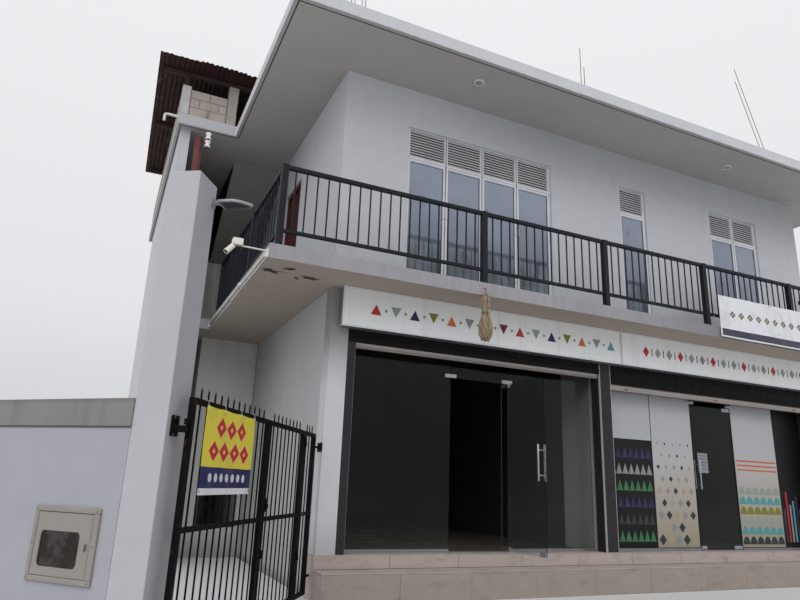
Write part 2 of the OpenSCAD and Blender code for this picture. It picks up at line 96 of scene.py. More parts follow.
class Mat:
    """A Principled material with small helpers for its procedural nodes."""

    def __init__(self, name, rough=0.8, metal=0.0, spec=0.5, coat=0.0, trans=0.0, ior=1.45, coat_rough=0.1):
        self.m = bpy.data.materials.new(name)
        self.m.use_nodes = True
        self.t = self.m.node_tree
        self.t.nodes.clear()
        self.out = self.new("ShaderNodeOutputMaterial")
        self.b = self.new("ShaderNodeBsdfPrincipled")
        self.link(self.b.outputs[0], self.out.inputs["Surface"])
        i = self.b.inputs
        i["Roughness"].default_value = rough
        i["Metallic"].default_value = metal
        i["Specular IOR Level"].default_value = spec
        i["Coat Weight"].default_value = coat
        i["Coat Roughness"].default_value = coat_rough
        i["Transmission Weight"].default_value = trans
        i["IOR"].default_value = ior
        self.obj = self.new("ShaderNodeTexCoord").outputs["Object"]
        s = self.new("ShaderNodeSeparateXYZ")
        self.link(self.obj, s.inputs[0])
        self.x, self.y, self.z = s.outputs
        self._n = None

    def new(self, kind):
        return self.t.nodes.new(kind)

    def link(self, a, b):
        self.t.links.new(a, b)

    def feed(self, value, socket):
        if isinstance(value, bpy.types.NodeSocket):
            self.link(value, socket)
        elif isinstance(value, (tuple, list)):
            socket.default_value = value
        else:
            socket.default_value = value

    def normal(self):
        if self._n is None:
            g = self.new("ShaderNodeNewGeometry")
            s = self.new("ShaderNodeSeparateXYZ")
            self.link(g.outputs["Normal"], s.inputs[0])
            self._n = s.outputs
        return self._n

    def vec(self, stretch=None, shift=None, turn=None):
        if stretch is None and shift is None and turn is None:
            return self.obj
        n = self.new("ShaderNodeMapping")
        self.link(self.obj, n.inputs["Vector"])
        if stretch:
            n.inputs["Scale"].default_value = stretch
        if shift:
            n.inputs["Location"].default_value = shift
        if turn:
            n.inputs["Rotation"].default_value = turn
        return n.outputs[0]

    def noise(self, scale, detail=3.0, rough=0.5, stretch=None, shift=None, dist=0.0, turn=None, vec=None):
        n = self.new("ShaderNodeTexNoise")
        n.inputs["Scale"].default_value = scale
        n.inputs["Detail"].default_value = detail
        n.inputs["Roughness"].default_value = rough
        n.inputs["Distortion"].default_value = dist
        self.link(vec or self.vec(stretch, shift, turn), n.inputs["Vector"])
        return n.outputs[0]

    def cells(self, scale, stretch=None, feature="F1", rand=1.0):
        n = self.new("ShaderNodeTexVoronoi")
        n.feature = feature
        n.inputs["Scale"].default_value = scale
        n.inputs["Randomness"].default_value = rand
        self.link(self.vec(stretch), n.inputs["Vector"])
        return n.outputs[0]

    def ramp(self, fac, stops, interp="LINEAR"):
        n = self.new("ShaderNodeValToRGB")
        r = n.color_ramp
        r.interpolation = interp
        for k, (pos, col) in enumerate(stops):
            if isinstance(col, (int, float)):
                col = (col, col, col, 1.0)
            e = r.elements[k] if k < 2 else r.elements.new(pos)
            e.position = pos
            e.color = col
        self.feed(fac, n.inputs[0])
        return n.outputs[0]

    def band(self, value, a, b, smooth=True):
        """0 at a, 1 at b, clamped."""
        n = self.new("ShaderNodeMapRange")
        n.clamp = True
        n.interpolation_type = "SMOOTHSTEP" if smooth else "LINEAR"
        lo, hi = (a, b) if a < b else (b, a)
        n.inputs["From Min"].default_value = lo
        n.inputs["From Max"].default_value = hi
        n.inputs["To Min"].default_value = 0.0 if a < b else 1.0
        n.inputs["To Max"].default_value = 1.0 if a < b else 0.0
        self.feed(value, n.inputs["Value"])
        return n.outputs[0]

    def math(self, op, a, b=None, clamp=False):
        n = self.new("ShaderNodeMath")
        n.operation = op
        n.use_clamp = clamp
        self.feed(a, n.inputs[0])
        if b is not None:
            self.feed(b, n.inputs[1])
        return n.outputs[0]

    def mul(self, *values):
        r = values[0]
        for v in values[1:]:
            r = self.math("MULTIPLY", r, v)
        return r

    def inside(self, x=None, y=None, z=None):
        """1 where the point lies between the limits, given in the building frame."""
        r = None
        for axis, o, lim in ((self.x, OX, x), (self.y, OY, y), (self.z, OZ, z)):
            if lim is None:
                continue
            for v, op in ((lim[0], "GREATER_THAN"), (lim[1], "LESS_THAN")):
                if v is None:
                    continue
                g = self.math(op, axis, v + o)
                r = g if r is None else self.math("MULTIPLY", r, g)
        return r

    def mix(self, fac, a, b, mode="MIX"):
        n = self.new("ShaderNodeMix")
        n.data_type = "RGBA"
        n.blend_type = mode
        self.feed(fac, n.inputs[0])
        self.feed(a, n.inputs[6])
        self.feed(b, n.inputs[7])
        return n.outputs[2]

    def color(self, c):
        self.feed(c, self.b.inputs["Base Color"])

    def roughness(self, r):
        self.feed(r, self.b.inputs["Roughness"])

    def bump(self, height, distance=0.003, strength=1.0):
        n = self.new("ShaderNodeBump")
        n.inputs["Strength"].default_value = strength
        n.inputs["Distance"].default_value = distance
        self.feed(height, n.inputs["Height"])
        self.link(n.outputs[0], self.b.inputs["Normal"])


def scaled(c, k):
    return (min(1.0, c[0] * k), min(1.0, c[1] * k), min(1.0, c[2] * k), 1.0)


def paint_wall(name, tone, grime=0.35, ground=None, streaks=0.16, inner=None, inner_shade_tone=None, extra=None, patch=0.5):
    """Emulsion on plaster: mottled, rain-streaked, and splashed near the ground. Inside the inner box its faces take
    the inner tone, painted shade of the rooms within.
    """
    m = Mat(name, rough=0.9, spec=0.25)
    base = m.mix(m.noise(0.45, 4, 0.6), scaled(tone, 0.955), scaled(tone, 1.035))
    base = m.mix(m.band(m.noise(5.0, 6, 0.65), 0.35, 0.8), base, scaled(tone, 0.93))
    st = m.band(m.noise(1.0, 5, 0.6, stretch=(7, 7, 0.35)), 0.5, 0.78)
    base = m.mix(m.mul(st, streaks), base, scaled(tone, 0.45))
    if patch:
        pt = m.band(m.noise(1.3, 3, 0.5, shift=(3, 1, 7)), 0.62, 0.7)
        base = m.mix(m.mul(pt, 0.10 * patch), base, scaled(tone, 1.12))
    if ground is not None:
        near = m.band(m.math("ADD", m.z, m.mul(m.noise(2.5, 5, 0.6), 0.35)), ground + 0.75, ground + 0.1)
        base = m.mix(m.mul(near, grime), base, rgb(112, 100, 88))
    if inner is not None:
        base = m.mix(m.inside(*inner), base, m.mix(m.noise(1.2, 4), scaled(inner_shade_tone, 0.8), scaled(inner_shade_tone, 1.15)))
    if extra:
        base = extra(m, base)
    m.color(base)
    m.roughness(m.ramp(m.noise(9, 3), [(0.3, 0.82), (0.7, 0.95)]))
    h = m.math("ADD", m.mul(m.noise(2.0, 2, 0.5), 0.8), m.mul(m.noise(70, 3, 0.6), 0.25))
    m.bump(h, 0.006, 0.5)
    return m.m


WHITE = rgb(196, 198, 203)
# Boxes of the rooms within: faces inside them take a dark tone, painted shade of the interior.
SHOP_IN = ((0.19, 8.71), (0.11, 7.81), (-0.01, 3.06))
UP_IN = ((0.19, 8.71), (0.19, 7.81), (3.2, 6.1))
INNER_SHADE = rgb(56, 50, 48)



def eave_painted_shade(m, base):
    """Painted shade: the front wall greys softly toward the soffit, where the overhang shades it, and the more so
    toward its middle.
    """
    front = m.band(m.normal()[1], -0.4, -0.8)
    top = m.band(m.z, SOFFIT + OZ - 1.5, SOFFIT + OZ - 0.1)
    mid = m.band(m.x, OX + 0.6, OX + 3.6)
    return m.mix(m.mul(front, top, mid, 0.30), base, scaled(eave_shade_tone, 1.0))


eave_shade_tone = rgb(112, 114, 118)
mat_wall_up = paint_wall("wall_upper", WHITE, streaks=0.07, inner=UP_IN, inner_shade_tone=rgb(110, 104, 100), extra=eave_painted_shade)
mat_wall_low = paint_wall("wall_lower", rgb(180, 180, 181), ground=0.0, streaks=0.10, inner=SHOP_IN, inner_shade_tone=INNER_SHADE)
mat_partition = paint_wall("wall_partition", rgb(150, 146, 142), streaks=0.05, inner=((4.0, 4.3), (0.9, 9.0), None), inner_shade_tone=INNER_SHADE)


# Painted shade: the column darkens toward its head, under the balcony slab.
def column_head_shade(m, base):
    return m.mix(m.mul(m.band(m.math("ADD", m.z, m.mul(m.noise(2.0, 3), 0.3)), OZ + 1.9, OZ + 2.75), 0.75), base, rgb(120, 112, 106))


mat_column = paint_wall("wall_column", rgb(203, 203, 208), ground=0.35, streaks=0.08, extra=column_head_shade)


def parapet_stain(m, base):
    """Raw cement, darker toward the wall and where water has run down."""
    base = m.mix(m.mul(m.band(m.x, OX - 1.15, OX - 1.45), 0.55), base, rgb(66, 63, 61))
    runs = m.band(m.noise(1.0, 6, 0.7, stretch=(9, 9, 0.6), shift=(5, 2, 1)), 0.44, 0.6)
    return m.mix(m.mul(runs, 0.5), base, rgb(74, 71, 68))


mat_bay_parapet = paint_wall("bay_parapet", rgb(120, 118, 115), streaks=0.6, patch=0.0, extra=parapet_stain)
mat_alley = paint_wall("wall_alley", rgb(196, 196, 194), ground=0.0, grime=0.6, streaks=0.3)
# The bay's inner faces take a greyer tone: painted shade of the stairwell.
mat_bay_out = paint_wall("wall_bay", WHITE, ground=0.0, streaks=0.25, inner=((-1.72, -0.9), (3.2, 7.81), None), inner_shade_tone=rgb(148, 146, 142))


def pier_side_shade(m, base):
    """Painted shade: the pier's face toward the gate is greyer."""
    return m.mix(m.mul(m.band(m.normal()[0], 0.4, 0.8), 0.45), base, rgb(128, 128, 132))


mat_pier = paint_wall("wall_pier", rgb(184, 185, 190), ground=0.0, grime=0.35, streaks=0.04, extra=pier_side_shade)


def coping(m, base):
    z0 = 1.076 + OZ
    cap = m.math("GREATER_THAN", m.z, z0 - 0.0005)
    c = m.mix(m.noise(2.0, 5, 0.6), rgb(124, 121, 121), rgb(144, 141, 141))
    c = m.mix(m.mul(m.band(m.noise(1.0, 5, 0.6, stretch=(8, 8, 0.8)), 0.45, 0.75), 0.3), c, rgb(84, 83, 80))
    c = m.mix(m.mul(m.band(m.z, 1.257 + OZ - 0.05, 1.257 + OZ), 0.35), c, rgb(96, 96, 88))
    under = m.mul(m.band(m.z, z0 - 0.45, z0), m.band(m.noise(1.0, 5, 0.6, stretch=(11, 11, 0.4), shift=(2, 5, 1)), 0.42, 0.7))
    base = m.mix(m.mul(under, 0.06), base, rgb(120, 118, 114))
    # painted shadow: a dark line just below the coping's lip
    coping_shadow_line = m.mul(m.band(m.z, z0 - 0.022, z0 - 0.004), 0.75)
    base = m.mix(coping_shadow_line, base, rgb(52, 50, 50))
    return m.mix(cap, base, c)


mat_boundary = paint_wall("wall_boundary", rgb(168, 169, 176), ground=0.0, grime=0.3, streaks=0.0, extra=coping)


def slab_material(name, soffit, edge, top, streak=0.5, dark_foot_z=None, ceiling_shade=None, shade=None):
    m = Mat(name, rough=0.88, spec=0.25)
    nz = m.normal()[2]
    under, up = m.band(nz, -0.3, -0.7), m.band(nz, 0.3, 0.7)
    s = m.mix(m.noise(0.5, 4, 0.6), scaled(soffit, 0.88), scaled(soffit, 1.1))
    s = m.mix(m.mul(m.band(m.noise(2.2, 6, 0.7, dist=0.6), 0.52, 0.75), 0.22), s, scaled(soffit, 0.6))
    s = m.mix(m.mul(m.band(m.noise(7, 5, 0.7), 0.68, 0.76), 0.3), s, scaled(soffit, 0.4))
    # painted shade: the ceiling over the shops takes a darker tone
    if ceiling_shade:
        s = m.mix(m.inside((0.19, 8.71), (0.30, 7.81)), s, scaled(ceiling_shade, 1.0))
    e = m.mix(m.noise(1.2, 5, 0.65), scaled(edge, 0.85), scaled(edge, 1.08))
    e = m.mix(m.mul(m.band(m.noise(1.0, 6, 0.65, stretch=(9, 9, 0.5)), 0.42, 0.72), streak), e, scaled(edge, 0.42))
    e = m.mix(m.mul(m.band(m.noise(1.0, 4, 0.6, stretch=(26, 26, 0.7), shift=(1, 2, 3)), 0.6, 0.74), streak * 0.8), e, rgb(70, 62, 54))
    # the edge face darkens along its lower few centimetres
    if dark_foot_z:
        z0 = dark_foot_z + OZ
        e = m.mix(m.mul(m.band(m.math("ADD", m.z, m.mul(m.noise(6, 4), 0.02)), z0 + 0.035, z0 + 0.012), 0.7), e, rgb(74, 70, 66))
    if shade:
        where, tone = shade
        e = m.mix(m.mul(where(m), 0.85), e, tone)
    t = m.mix(m.noise(1.0, 6, 0.65), scaled(top, 0.75), scaled(top, 1.12))
    t = m.mix(m.mul(m.band(m.noise(0.6, 5, 0.6, shift=(4, 4, 0)), 0.5, 0.66), 0.4), t, scaled(top, 0.5))
    m.color(m.mix(up, m.mix(under, e, s), t))
    m.roughness(m.ramp(m.noise(4, 3), [(0.3, 0.8), (0.7, 0.95)]))
    m.bump(m.math("ADD", m.noise(3.0, 4, 0.6), m.mul(m.noise(60, 4, 0.65), 0.3)), 0.006, 0.5)
    return m.m


mat_roof = slab_material("roof_concrete", rgb(173, 170, 167), rgb(203, 204, 209), rgb(140, 138, 132), streak=0.08, dark_foot_z=SOFFIT,
                         shade=(lambda m: m.inside((-3.0, -1.03), (2.4, None), None), rgb(176, 176, 180)))
mat_floor2 = slab_material("balcony_concrete", rgb(170, 159, 148), rgb(158, 156, 161), rgb(138, 134, 128), streak=0.24, ceiling_shade=rgb(84, 78, 74),
                           shade=(lambda m: m.band(m.x, OX + 3.0, OX + 8.5), rgb(104, 101, 105)))
# The stair's vertical faces take a near-black tone: painted shade of the stairwell.
mat_stair_shaded_sides = slab_material("stair_concrete_shaded_sides", rgb(150, 147, 143), rgb(52, 47, 46), rgb(126, 122, 116), streak=0.3)


def tile_material(name, a, b, gloss=0.35):
    m = Mat(name, rough=gloss, spec=0.45)
    c = m.mix(m.noise(1.6, 5, 0.6), a, b)
    c = m.mix(m.mul(m.band(m.noise(14, 6, 0.7, dist=1.2), 0.5, 0.72), 0.35), c, scaled(a, 0.72))
    c = m.mix(m.mul(m.band(m.noise(3.0, 5, 0.6, stretch=(1, 1, 3)), 0.48, 0.74), 0.35), c, rgb(112, 98, 88))
    m.color(c)
    m.roughness(m.ramp(m.noise(5, 4), [(0.3, gloss), (0.75, min(0.95, gloss + 0.35))]))
    m.bump(m.noise(40, 3), 0.001, 0.4)
    return m.m


mat_riser = tile_material("step_tile_face", rgb(170, 157, 150), rgb(182, 170, 163))
mat_riser_low = tile_material("step_tile_low", rgb(146, 136, 127), rgb(158, 148, 139))
mat_tread = tile_material("step_tile_top", rgb(164, 153, 146), rgb(178, 167, 160), 0.5)


def plinth_material():
    m = Mat("plinth_render", rough=0.85, spec=0.3)
    c = m.mix(m.noise(1.4, 6, 0.65), rgb(112, 106, 100), rgb(146, 140, 133))
    c = m.mix(m.mul(m.band(m.noise(1.0, 5, 0.6, stretch=(8, 8, 0.7)), 0.45, 0.7), 0.35), c, rgb(78, 72, 66))
    n = m.new("ShaderNodeTexBrick")
    n.offset = 0.0
    n.inputs["Scale"].default_value = 1.0
    n.inputs["Mortar Size"].default_value = 0.003
    n.inputs["Brick Width"].default_value = 0.6
    n.inputs["Row Height"].default_value = 0.6
    n.inputs["Color1"].default_value = rgb(150, 138, 128)
    n.inputs["Color2"].default_value = rgb(136, 125, 116)
    n.inputs["Mortar"].default_value = rgb(74, 68, 62)
    m.link(m.obj, n.inputs["Vector"])
    f = m.mix(m.mul(m.band(m.noise(2.5, 5), 0.45, 0.75), 0.4), n.outputs[0], rgb(96, 86, 78))
    # painted shade: the floor inside the shops is darker
    f = m.mix(m.inside((0.19, 8.71), (0.30, 7.81)), f, m.mix(m.noise(1.2, 4), rgb(62, 56, 52), rgb(84, 76, 70)))
    side = m.mul(m.band(m.normal()[0], -0.3, -0.7), m.math("GREATER_THAN", m.y, OY + 0.362))
    c = m.mix(side, c, m.mix(m.noise(0.8, 5, 0.6), rgb(168, 167, 167), rgb(184, 184, 185)))
    damp = m.band(m.math("ADD", m.z, m.mul(m.noise(3.0, 5, 0.65), 0.22)), 0.30, 0.10)
    c = m.mix(m.mul(side, damp, 0.6), c, rgb(88, 84, 74))
    m.color(m.mix(m.band(m.normal()[2], 0.3, 0.7), c, f))
    m.roughness(m.ramp(m.noise(4, 3), [(0.3, 0.45), (0.7, 0.85)]))
    m.bump(m.noise(50, 4), 0.002, 0.5)
    return m.m


mat_plinth = plinth_material()


def painted_metal(name, tone, rough=0.5, wear=0.2, rust=0.0, dust=0.25, spec=0.5, grain=90, metal=0.0, dust_tone=None):
    """Painted or bare metal with tonal drift, dust on upward faces and, where asked, rust."""
    m = Mat(name, rough=rough, spec=spec, metal=metal)
    c = m.mix(m.noise(3.0, 5, 0.6), scaled(tone, 0.8), scaled(tone, 1.22))
    c = m.mix(m.mul(m.band(m.noise(22, 5, 0.7), 0.55, 0.75), wear), c, scaled(tone, 1.9))
    if dust:
        up = m.mul(m.band(m.normal()[2], 0.2, 0.9), m.band(m.noise(6, 4), 0.25, 0.7))
        c = m.mix(m.mul(up, dust), c, dust_tone or rgb(150, 145, 138))
    if rust:
        spots = m.band(m.noise(15, 6, 0.75, stretch=(1, 1, 0.6)), 0.62 - 0.3 * rust, 0.76 - 0.2 * rust)
        c = m.mix(m.mul(spots, 0.85), c, m.mix(m.noise(40, 4), rgb(62, 34, 22), rgb(122, 66, 36)))
    m.color(c)
    m.roughness(m.ramp(m.noise(12, 4), [(0.3, max(0.05, rough - 0.1)), (0.75, min(1, rough + 0.2))]))
    m.bump(m.noise(grain, 3), 0.0008, 0.35)
    return m.m


mat_dark = painted_metal("dark_steel", rgb(42, 37, 42), 0.55, wear=0.10, dust=0.2, spec=0.35)
# Near-black casing: its own dark paint together with painted shade of the recess under the signs.
mat_shutter_box_shade = painted_metal("shutter_box_steel_shade", rgb(14, 12, 13), 0.7, wear=0.05, dust=0.05, spec=0.2)
mat_trim = painted_metal("light_trim", rgb(186, 182, 184), 0.45, wear=0.1, dust=0.2)
mat_roller = painted_metal("roller_bar", rgb(150, 141, 135), 0.5, wear=0.2, dust=0.5, dust_tone=rgb(190, 182, 172))
mat_roller_dark = painted_metal("roller_bar_dark", rgb(70, 60, 58), 0.55, wear=0.15, dust=0.3)
mat_rail = painted_metal("railing_steel", rgb(21, 24, 32), 0.48, wear=0.08, dust=0.06, spec=0.3)
mat_gate = painted_metal("gate_steel", rgb(7, 6, 8), 0.6, wear=0.08, rust=0.08, dust=0.03, spec=0.15)
mat_steel = painted_metal("brushed_steel", rgb(176, 178, 182), 0.3, wear=0.05, dust=0.1, metal=0.9, grain=240)
mat_alu = painted_metal("aluminium_channel", rgb(150, 150, 154), 0.4, wear=0.1, dust=0.3, metal=0.7)
mat_frame = painted_metal("white_frame", rgb(214, 215, 220), 0.42, wear=0.05, dust=0.15, dust_tone=rgb(150, 148, 144))
mat_louvre = painted_metal("louvre_white", rgb(206, 204, 205), 0.5, wear=0.05, dust=0.15, dust_tone=rgb(140, 136, 130))
mat_gasket = painted_metal("dark_gasket", rgb(40, 42, 46), 0.7, wear=0.05, dust=0.1)
# A dark fill that paints shade: behind the louvre blades and inside the spout's mouth.
mat_shadow_fill = painted_metal("louvre_shadow", rgb(60, 56, 54), 0.9, wear=0.05, dust=0.0)
mat_pvc = painted_metal("white_pvc", rgb(214, 212, 206), 0.45, wear=0.06, dust=0.35, dust_tone=rgb(140, 134, 124))
mat_pvc_dark = painted_metal("grey_pvc", rgb(96, 94, 92), 0.6, wear=0.1, dust=0.2)
mat_camera = painted_metal("camera_cream", rgb(222, 219, 208), 0.4, wear=0.05, dust=0.25)
mat_camera_dark = painted_metal("camera_dark", rgb(34, 33, 34), 0.35, wear=0.1, dust=0.1)
mat_lamp = painted_metal("lamp_grey", rgb(150, 152, 155), 0.4, wear=0.08, dust=0.3, metal=0.3)
mat_lamp_dark = painted_metal("lamp_under", rgb(40, 40, 42), 0.5, wear=0.1, dust=0.0)
mat_red_oxide = painted_metal("red_oxide", rgb(92, 42, 38), 0.6, wear=0.12, rust=0.3, dust=0.2)
mat_insulator = painted_metal("porcelain", rgb(228, 228, 226), 0.15, wear=0.03, dust=0.25)
mat_bar = painted_metal("rusty_bar", rgb(104, 88, 82), 0.8, wear=0.2, rust=0.55, dust=0.0, grain=300)
mat_diffuser = painted_metal("lamp_diffuser", rgb(150, 146, 140), 0.45, wear=0.05, dust=0.0)
mat_meter_door = painted_metal("meter_cream", rgb(146, 142, 137), 0.45, wear=0.12, rust=0.06, dust=0.25)
mat_meter_frame = painted_metal("meter_frame", rgb(144, 139, 133), 0.5, wear=0.18, rust=0.10, dust=0.3)
mat_screw = painted_metal("bolt_head", rgb(92, 90, 88), 0.5, wear=0.3, rust=0.3, dust=0.1, metal=0.5)


def timber(name, a, b, low=None, along=(14, 14, 0.9), gloss=0.4):
    m = Mat(name, rough=gloss, spec=0.4, coat=0.15)
    g = m.noise(1.0, 6, 0.65, stretch=along, dist=0.8)
    c = m.mix(m.band(g, 0.3, 0.7), a, b)
    c = m.mix(m.mul(m.band(m.noise(1.0, 4, 0.6, stretch=(60, 60, 2.5)), 0.55, 0.7), 0.4), c, scaled(a, 0.5))
    if low:
        z0, z1, tone = low
        c = m.mix(m.band(m.math("ADD", m.z, m.mul(m.noise(4, 4), 0.25)), z1 + OZ + 0.12, z0 + OZ + 0.12), c, tone)
    m.color(c)
    m.roughness(m.ramp(m.noise(8, 4), [(0.3, gloss), (0.8, gloss + 0.3)]))
    m.bump(m.noise(1.0, 5, 0.6, stretch=(60, 60, 3)), 0.001, 0.5)
    return m.m


mat_red_door = timber("red_timber", rgb(92, 34, 32), rgb(66, 26, 28), low=(3.15, 3.45, rgb(150, 62, 34)))


def glass(name, tint_and_shade=(0.80, 0.84, 0.83, 1.0)):
    m = Mat(name, rough=0.02, spec=0.5, trans=1.0, ior=1.22)
    # The grey tint is partly painted shade: it darkens the shop interior seen through the glass.
    m.color(m.mix(m.band(m.noise(1.5, 4, 0.6), 0.3, 0.8), tint_and_shade, scaled(tint_and_shade, 0.93)))
    m.roughness(m.ramp(m.noise(3.0, 5, 0.6, stretch=(1, 1, 0.5)), [(0.4, 0.01), (0.75, 0.06)]))
    clear = m.new("ShaderNodeBsdfTransparent")
    clear.inputs[0].default_value = (0.80, 0.84, 0.83, 1.0)
    path = m.new("ShaderNodeLightPath")
    mixer = m.new("ShaderNodeMixShader")
    m.link(path.outputs["Is Shadow Ray"], mixer.inputs[0])
    m.link(m.b.outputs[0], mixer.inputs[1])
    m.link(clear.outputs[0], mixer.inputs[2])
    m.link(mixer.outputs[0], m.out.inputs["Surface"])
    return m.m


mat_glass = glass("clear_glass")


def window_glass():
    """Tinted panes of the upper windows with a painted reflection: a pale grey-blue of reflected sky, darker and patchy
    low down with reflected trees, and paler patches.
    """
    m = Mat("window_glass", rough=0.06, spec=0.6, metal=0.35)
    zz = m.math("SUBTRACT", m.z, FLOOR2 + OZ)
    c = m.mix(m.band(zz, 0.1, 1.5), rgb(98, 106, 118), rgb(134, 142, 158))
    reflected_tree_shapes = m.band(m.math("ADD", m.noise(2.2, 6, 0.7, stretch=(1.6, 1, 0.8)), m.mul(m.band(zz, 0.0, 1.1), -0.28)), 0.33, 0.44)
    c = m.mix(m.mul(reflected_tree_shapes, 0.55), c, rgb(66, 72, 74))
    c = m.mix(m.mul(m.band(m.noise(0.9, 3), 0.4, 0.7), 0.3), c, rgb(170, 180, 192))
    m.color(c)
    m.roughness(m.ramp(m.noise(2.0, 3), [(0.3, 0.03), (0.7, 0.12)]))
    m.bump(m.noise(0.8, 2), 0.002, 0.15)
    return m.m


mat_window_painted_reflection = window_glass()


def rusty_sheet():
    m = Mat("rusty_sheet", rough=0.85, spec=0.3, metal=0.2)
    a = m.mix(m.noise(1.4, 6, 0.7, stretch=(1.4, 0.5, 1)), rgb(42, 28, 26), rgb(68, 49, 44))
    a = m.mix(m.band(m.noise(6, 6, 0.7), 0.55, 0.75), a, rgb(92, 58, 43))
    a = m.mix(m.mul(m.band(m.noise(1.0, 5, 0.6, stretch=(24, 1.2, 1)), 0.5, 0.68), 0.6), a, rgb(42, 30, 30))
    a = m.mix(m.mul(m.band(m.noise(3.2, 4, 0.6, shift=(9, 3, 1)), 0.64, 0.7), 0.4), a, rgb(96, 88, 84))
    m.color(a)
    m.roughness(m.ramp(m.noise(10, 4), [(0.3, 0.7), (0.7, 0.95)]))
    m.bump(m.noise(45, 5, 0.7), 0.0015, 0.6)
    return m.m


mat_rusty = rusty_sheet()
mat_batten = painted_metal("old_batten", rgb(56, 46, 41), 0.85, wear=0.2, rust=0.4, dust=0.1)


def masonry(name, a, b, rough=0.95, grain=30):
    m = Mat(name, rough=rough, spec=0.2)
    c = m.mix(m.noise(5.0, 5, 0.65), a, b)
    c = m.mix(m.mul(m.band(m.noise(1.0, 5, 0.6, stretch=(10, 10, 1.2)), 0.5, 0.72), 0.5), c, scaled(a, 0.45))
    c = m.mix(m.mul(m.cells(85), 0.25), c, scaled(a, 0.6))
    m.color(c)
    m.bump(m.math("ADD", m.noise(grain, 6, 0.7), m.mul(m.noise(6, 3), 0.6)), 0.005, 0.8)
    return m.m


mat_block = masonry("weathered_block", rgb(158, 148, 140), rgb(188, 180, 172))
mat_mortar = masonry("mortar", rgb(120, 112, 106), rgb(150, 142, 136))
mat_stub = masonry("plastered_stub", rgb(176, 174, 174), rgb(204, 203, 204), grain=14)
mat_stub_rough = masonry("rough_stub", rgb(150, 143, 136), rgb(180, 172, 165), grain=18)
mat_spall = masonry("broken_concrete", rgb(54, 46, 40), rgb(92, 80, 68), grain=26)
mat_spall_rim = masonry("broken_rim", rgb(150, 142, 130), rgb(182, 174, 162), grain=26)


def straw():
    m = Mat("straw", rough=0.9, spec=0.2)
    c = m.mix(m.noise(40, 5, 0.7, stretch=(1, 1, 0.2)), rgb(132, 112, 92), rgb(186, 166, 142))
    c = m.mix(m.mul(m.band(m.noise(22, 4), 0.52, 0.66), 0.7), c, rgb(70, 50, 40))
    m.color(c)
    m.bump(m.noise(160, 3, stretch=(1, 1, 0.15)), 0.002, 0.8)
    return m.m


mat_straw = straw()


def vinyl(name, tone, fade=0.25, gloss=0.4):
    """Printed vinyl or a painted sign face: even colour with sun fade, dust and rain marks."""
    m = Mat(name, rough=gloss, spec=0.35)
    c = m.mix(m.noise(0.9, 4, 0.6), scaled(tone, 0.93), scaled(tone, 1.06))
    c = m.mix(m.mul(m.band(m.noise(1.0, 5, 0.6, stretch=(9, 9, 0.6)), 0.48, 0.76), fade), c, rgb(150, 148, 146))
    c = m.mix(m.mul(m.noise(30, 4), 0.08), c, scaled(tone, 0.7))
    m.color(c)
    m.roughness(m.ramp(m.noise(7, 3), [(0.3, gloss), (0.75, min(1, gloss + 0.25))]))
    m.bump(m.noise(2.5, 2), 0.003, 0.2)
    return m.m


mat_sign = vinyl("sign_white", rgb(230, 231, 232), 0.18, 0.5)
INKS = {k: vinyl("ink_" + k, rgb(*c), f) for k, c, f in (
    ("red", (178, 42, 46), 0.15), ("pink", (206, 120, 128), 0.2), ("orange", (196, 106, 62), 0.15), ("yellow", (190, 172, 50), 0.15),
    ("olive", (120, 122, 44), 0.15), ("green", (52, 112, 72), 0.15), ("leaf", (60, 158, 62), 0.1), ("teal", (78, 148, 152), 0.15), ("sky", (110, 160, 196), 0.15),
    ("blue", (46, 84, 150), 0.15), ("navy", (38, 40, 82), 0.12), ("violet", (104, 78, 132), 0.15), ("maroon", (108, 36, 48), 0.12),
    ("grey", (134, 138, 140), 0.1), ("sage", (142, 154, 146), 0.1), ("charcoal", (48, 52, 56), 0.1), ("black", (22, 22, 24), 0.05),
    ("cream", (206, 200, 170), 0.1), ("sand", (166, 150, 124), 0.12), ("white", (212, 214, 218), 0.1), ("brown", (96, 62, 44), 0.12))}

# ------------------------------------------------------------------ mesh tools


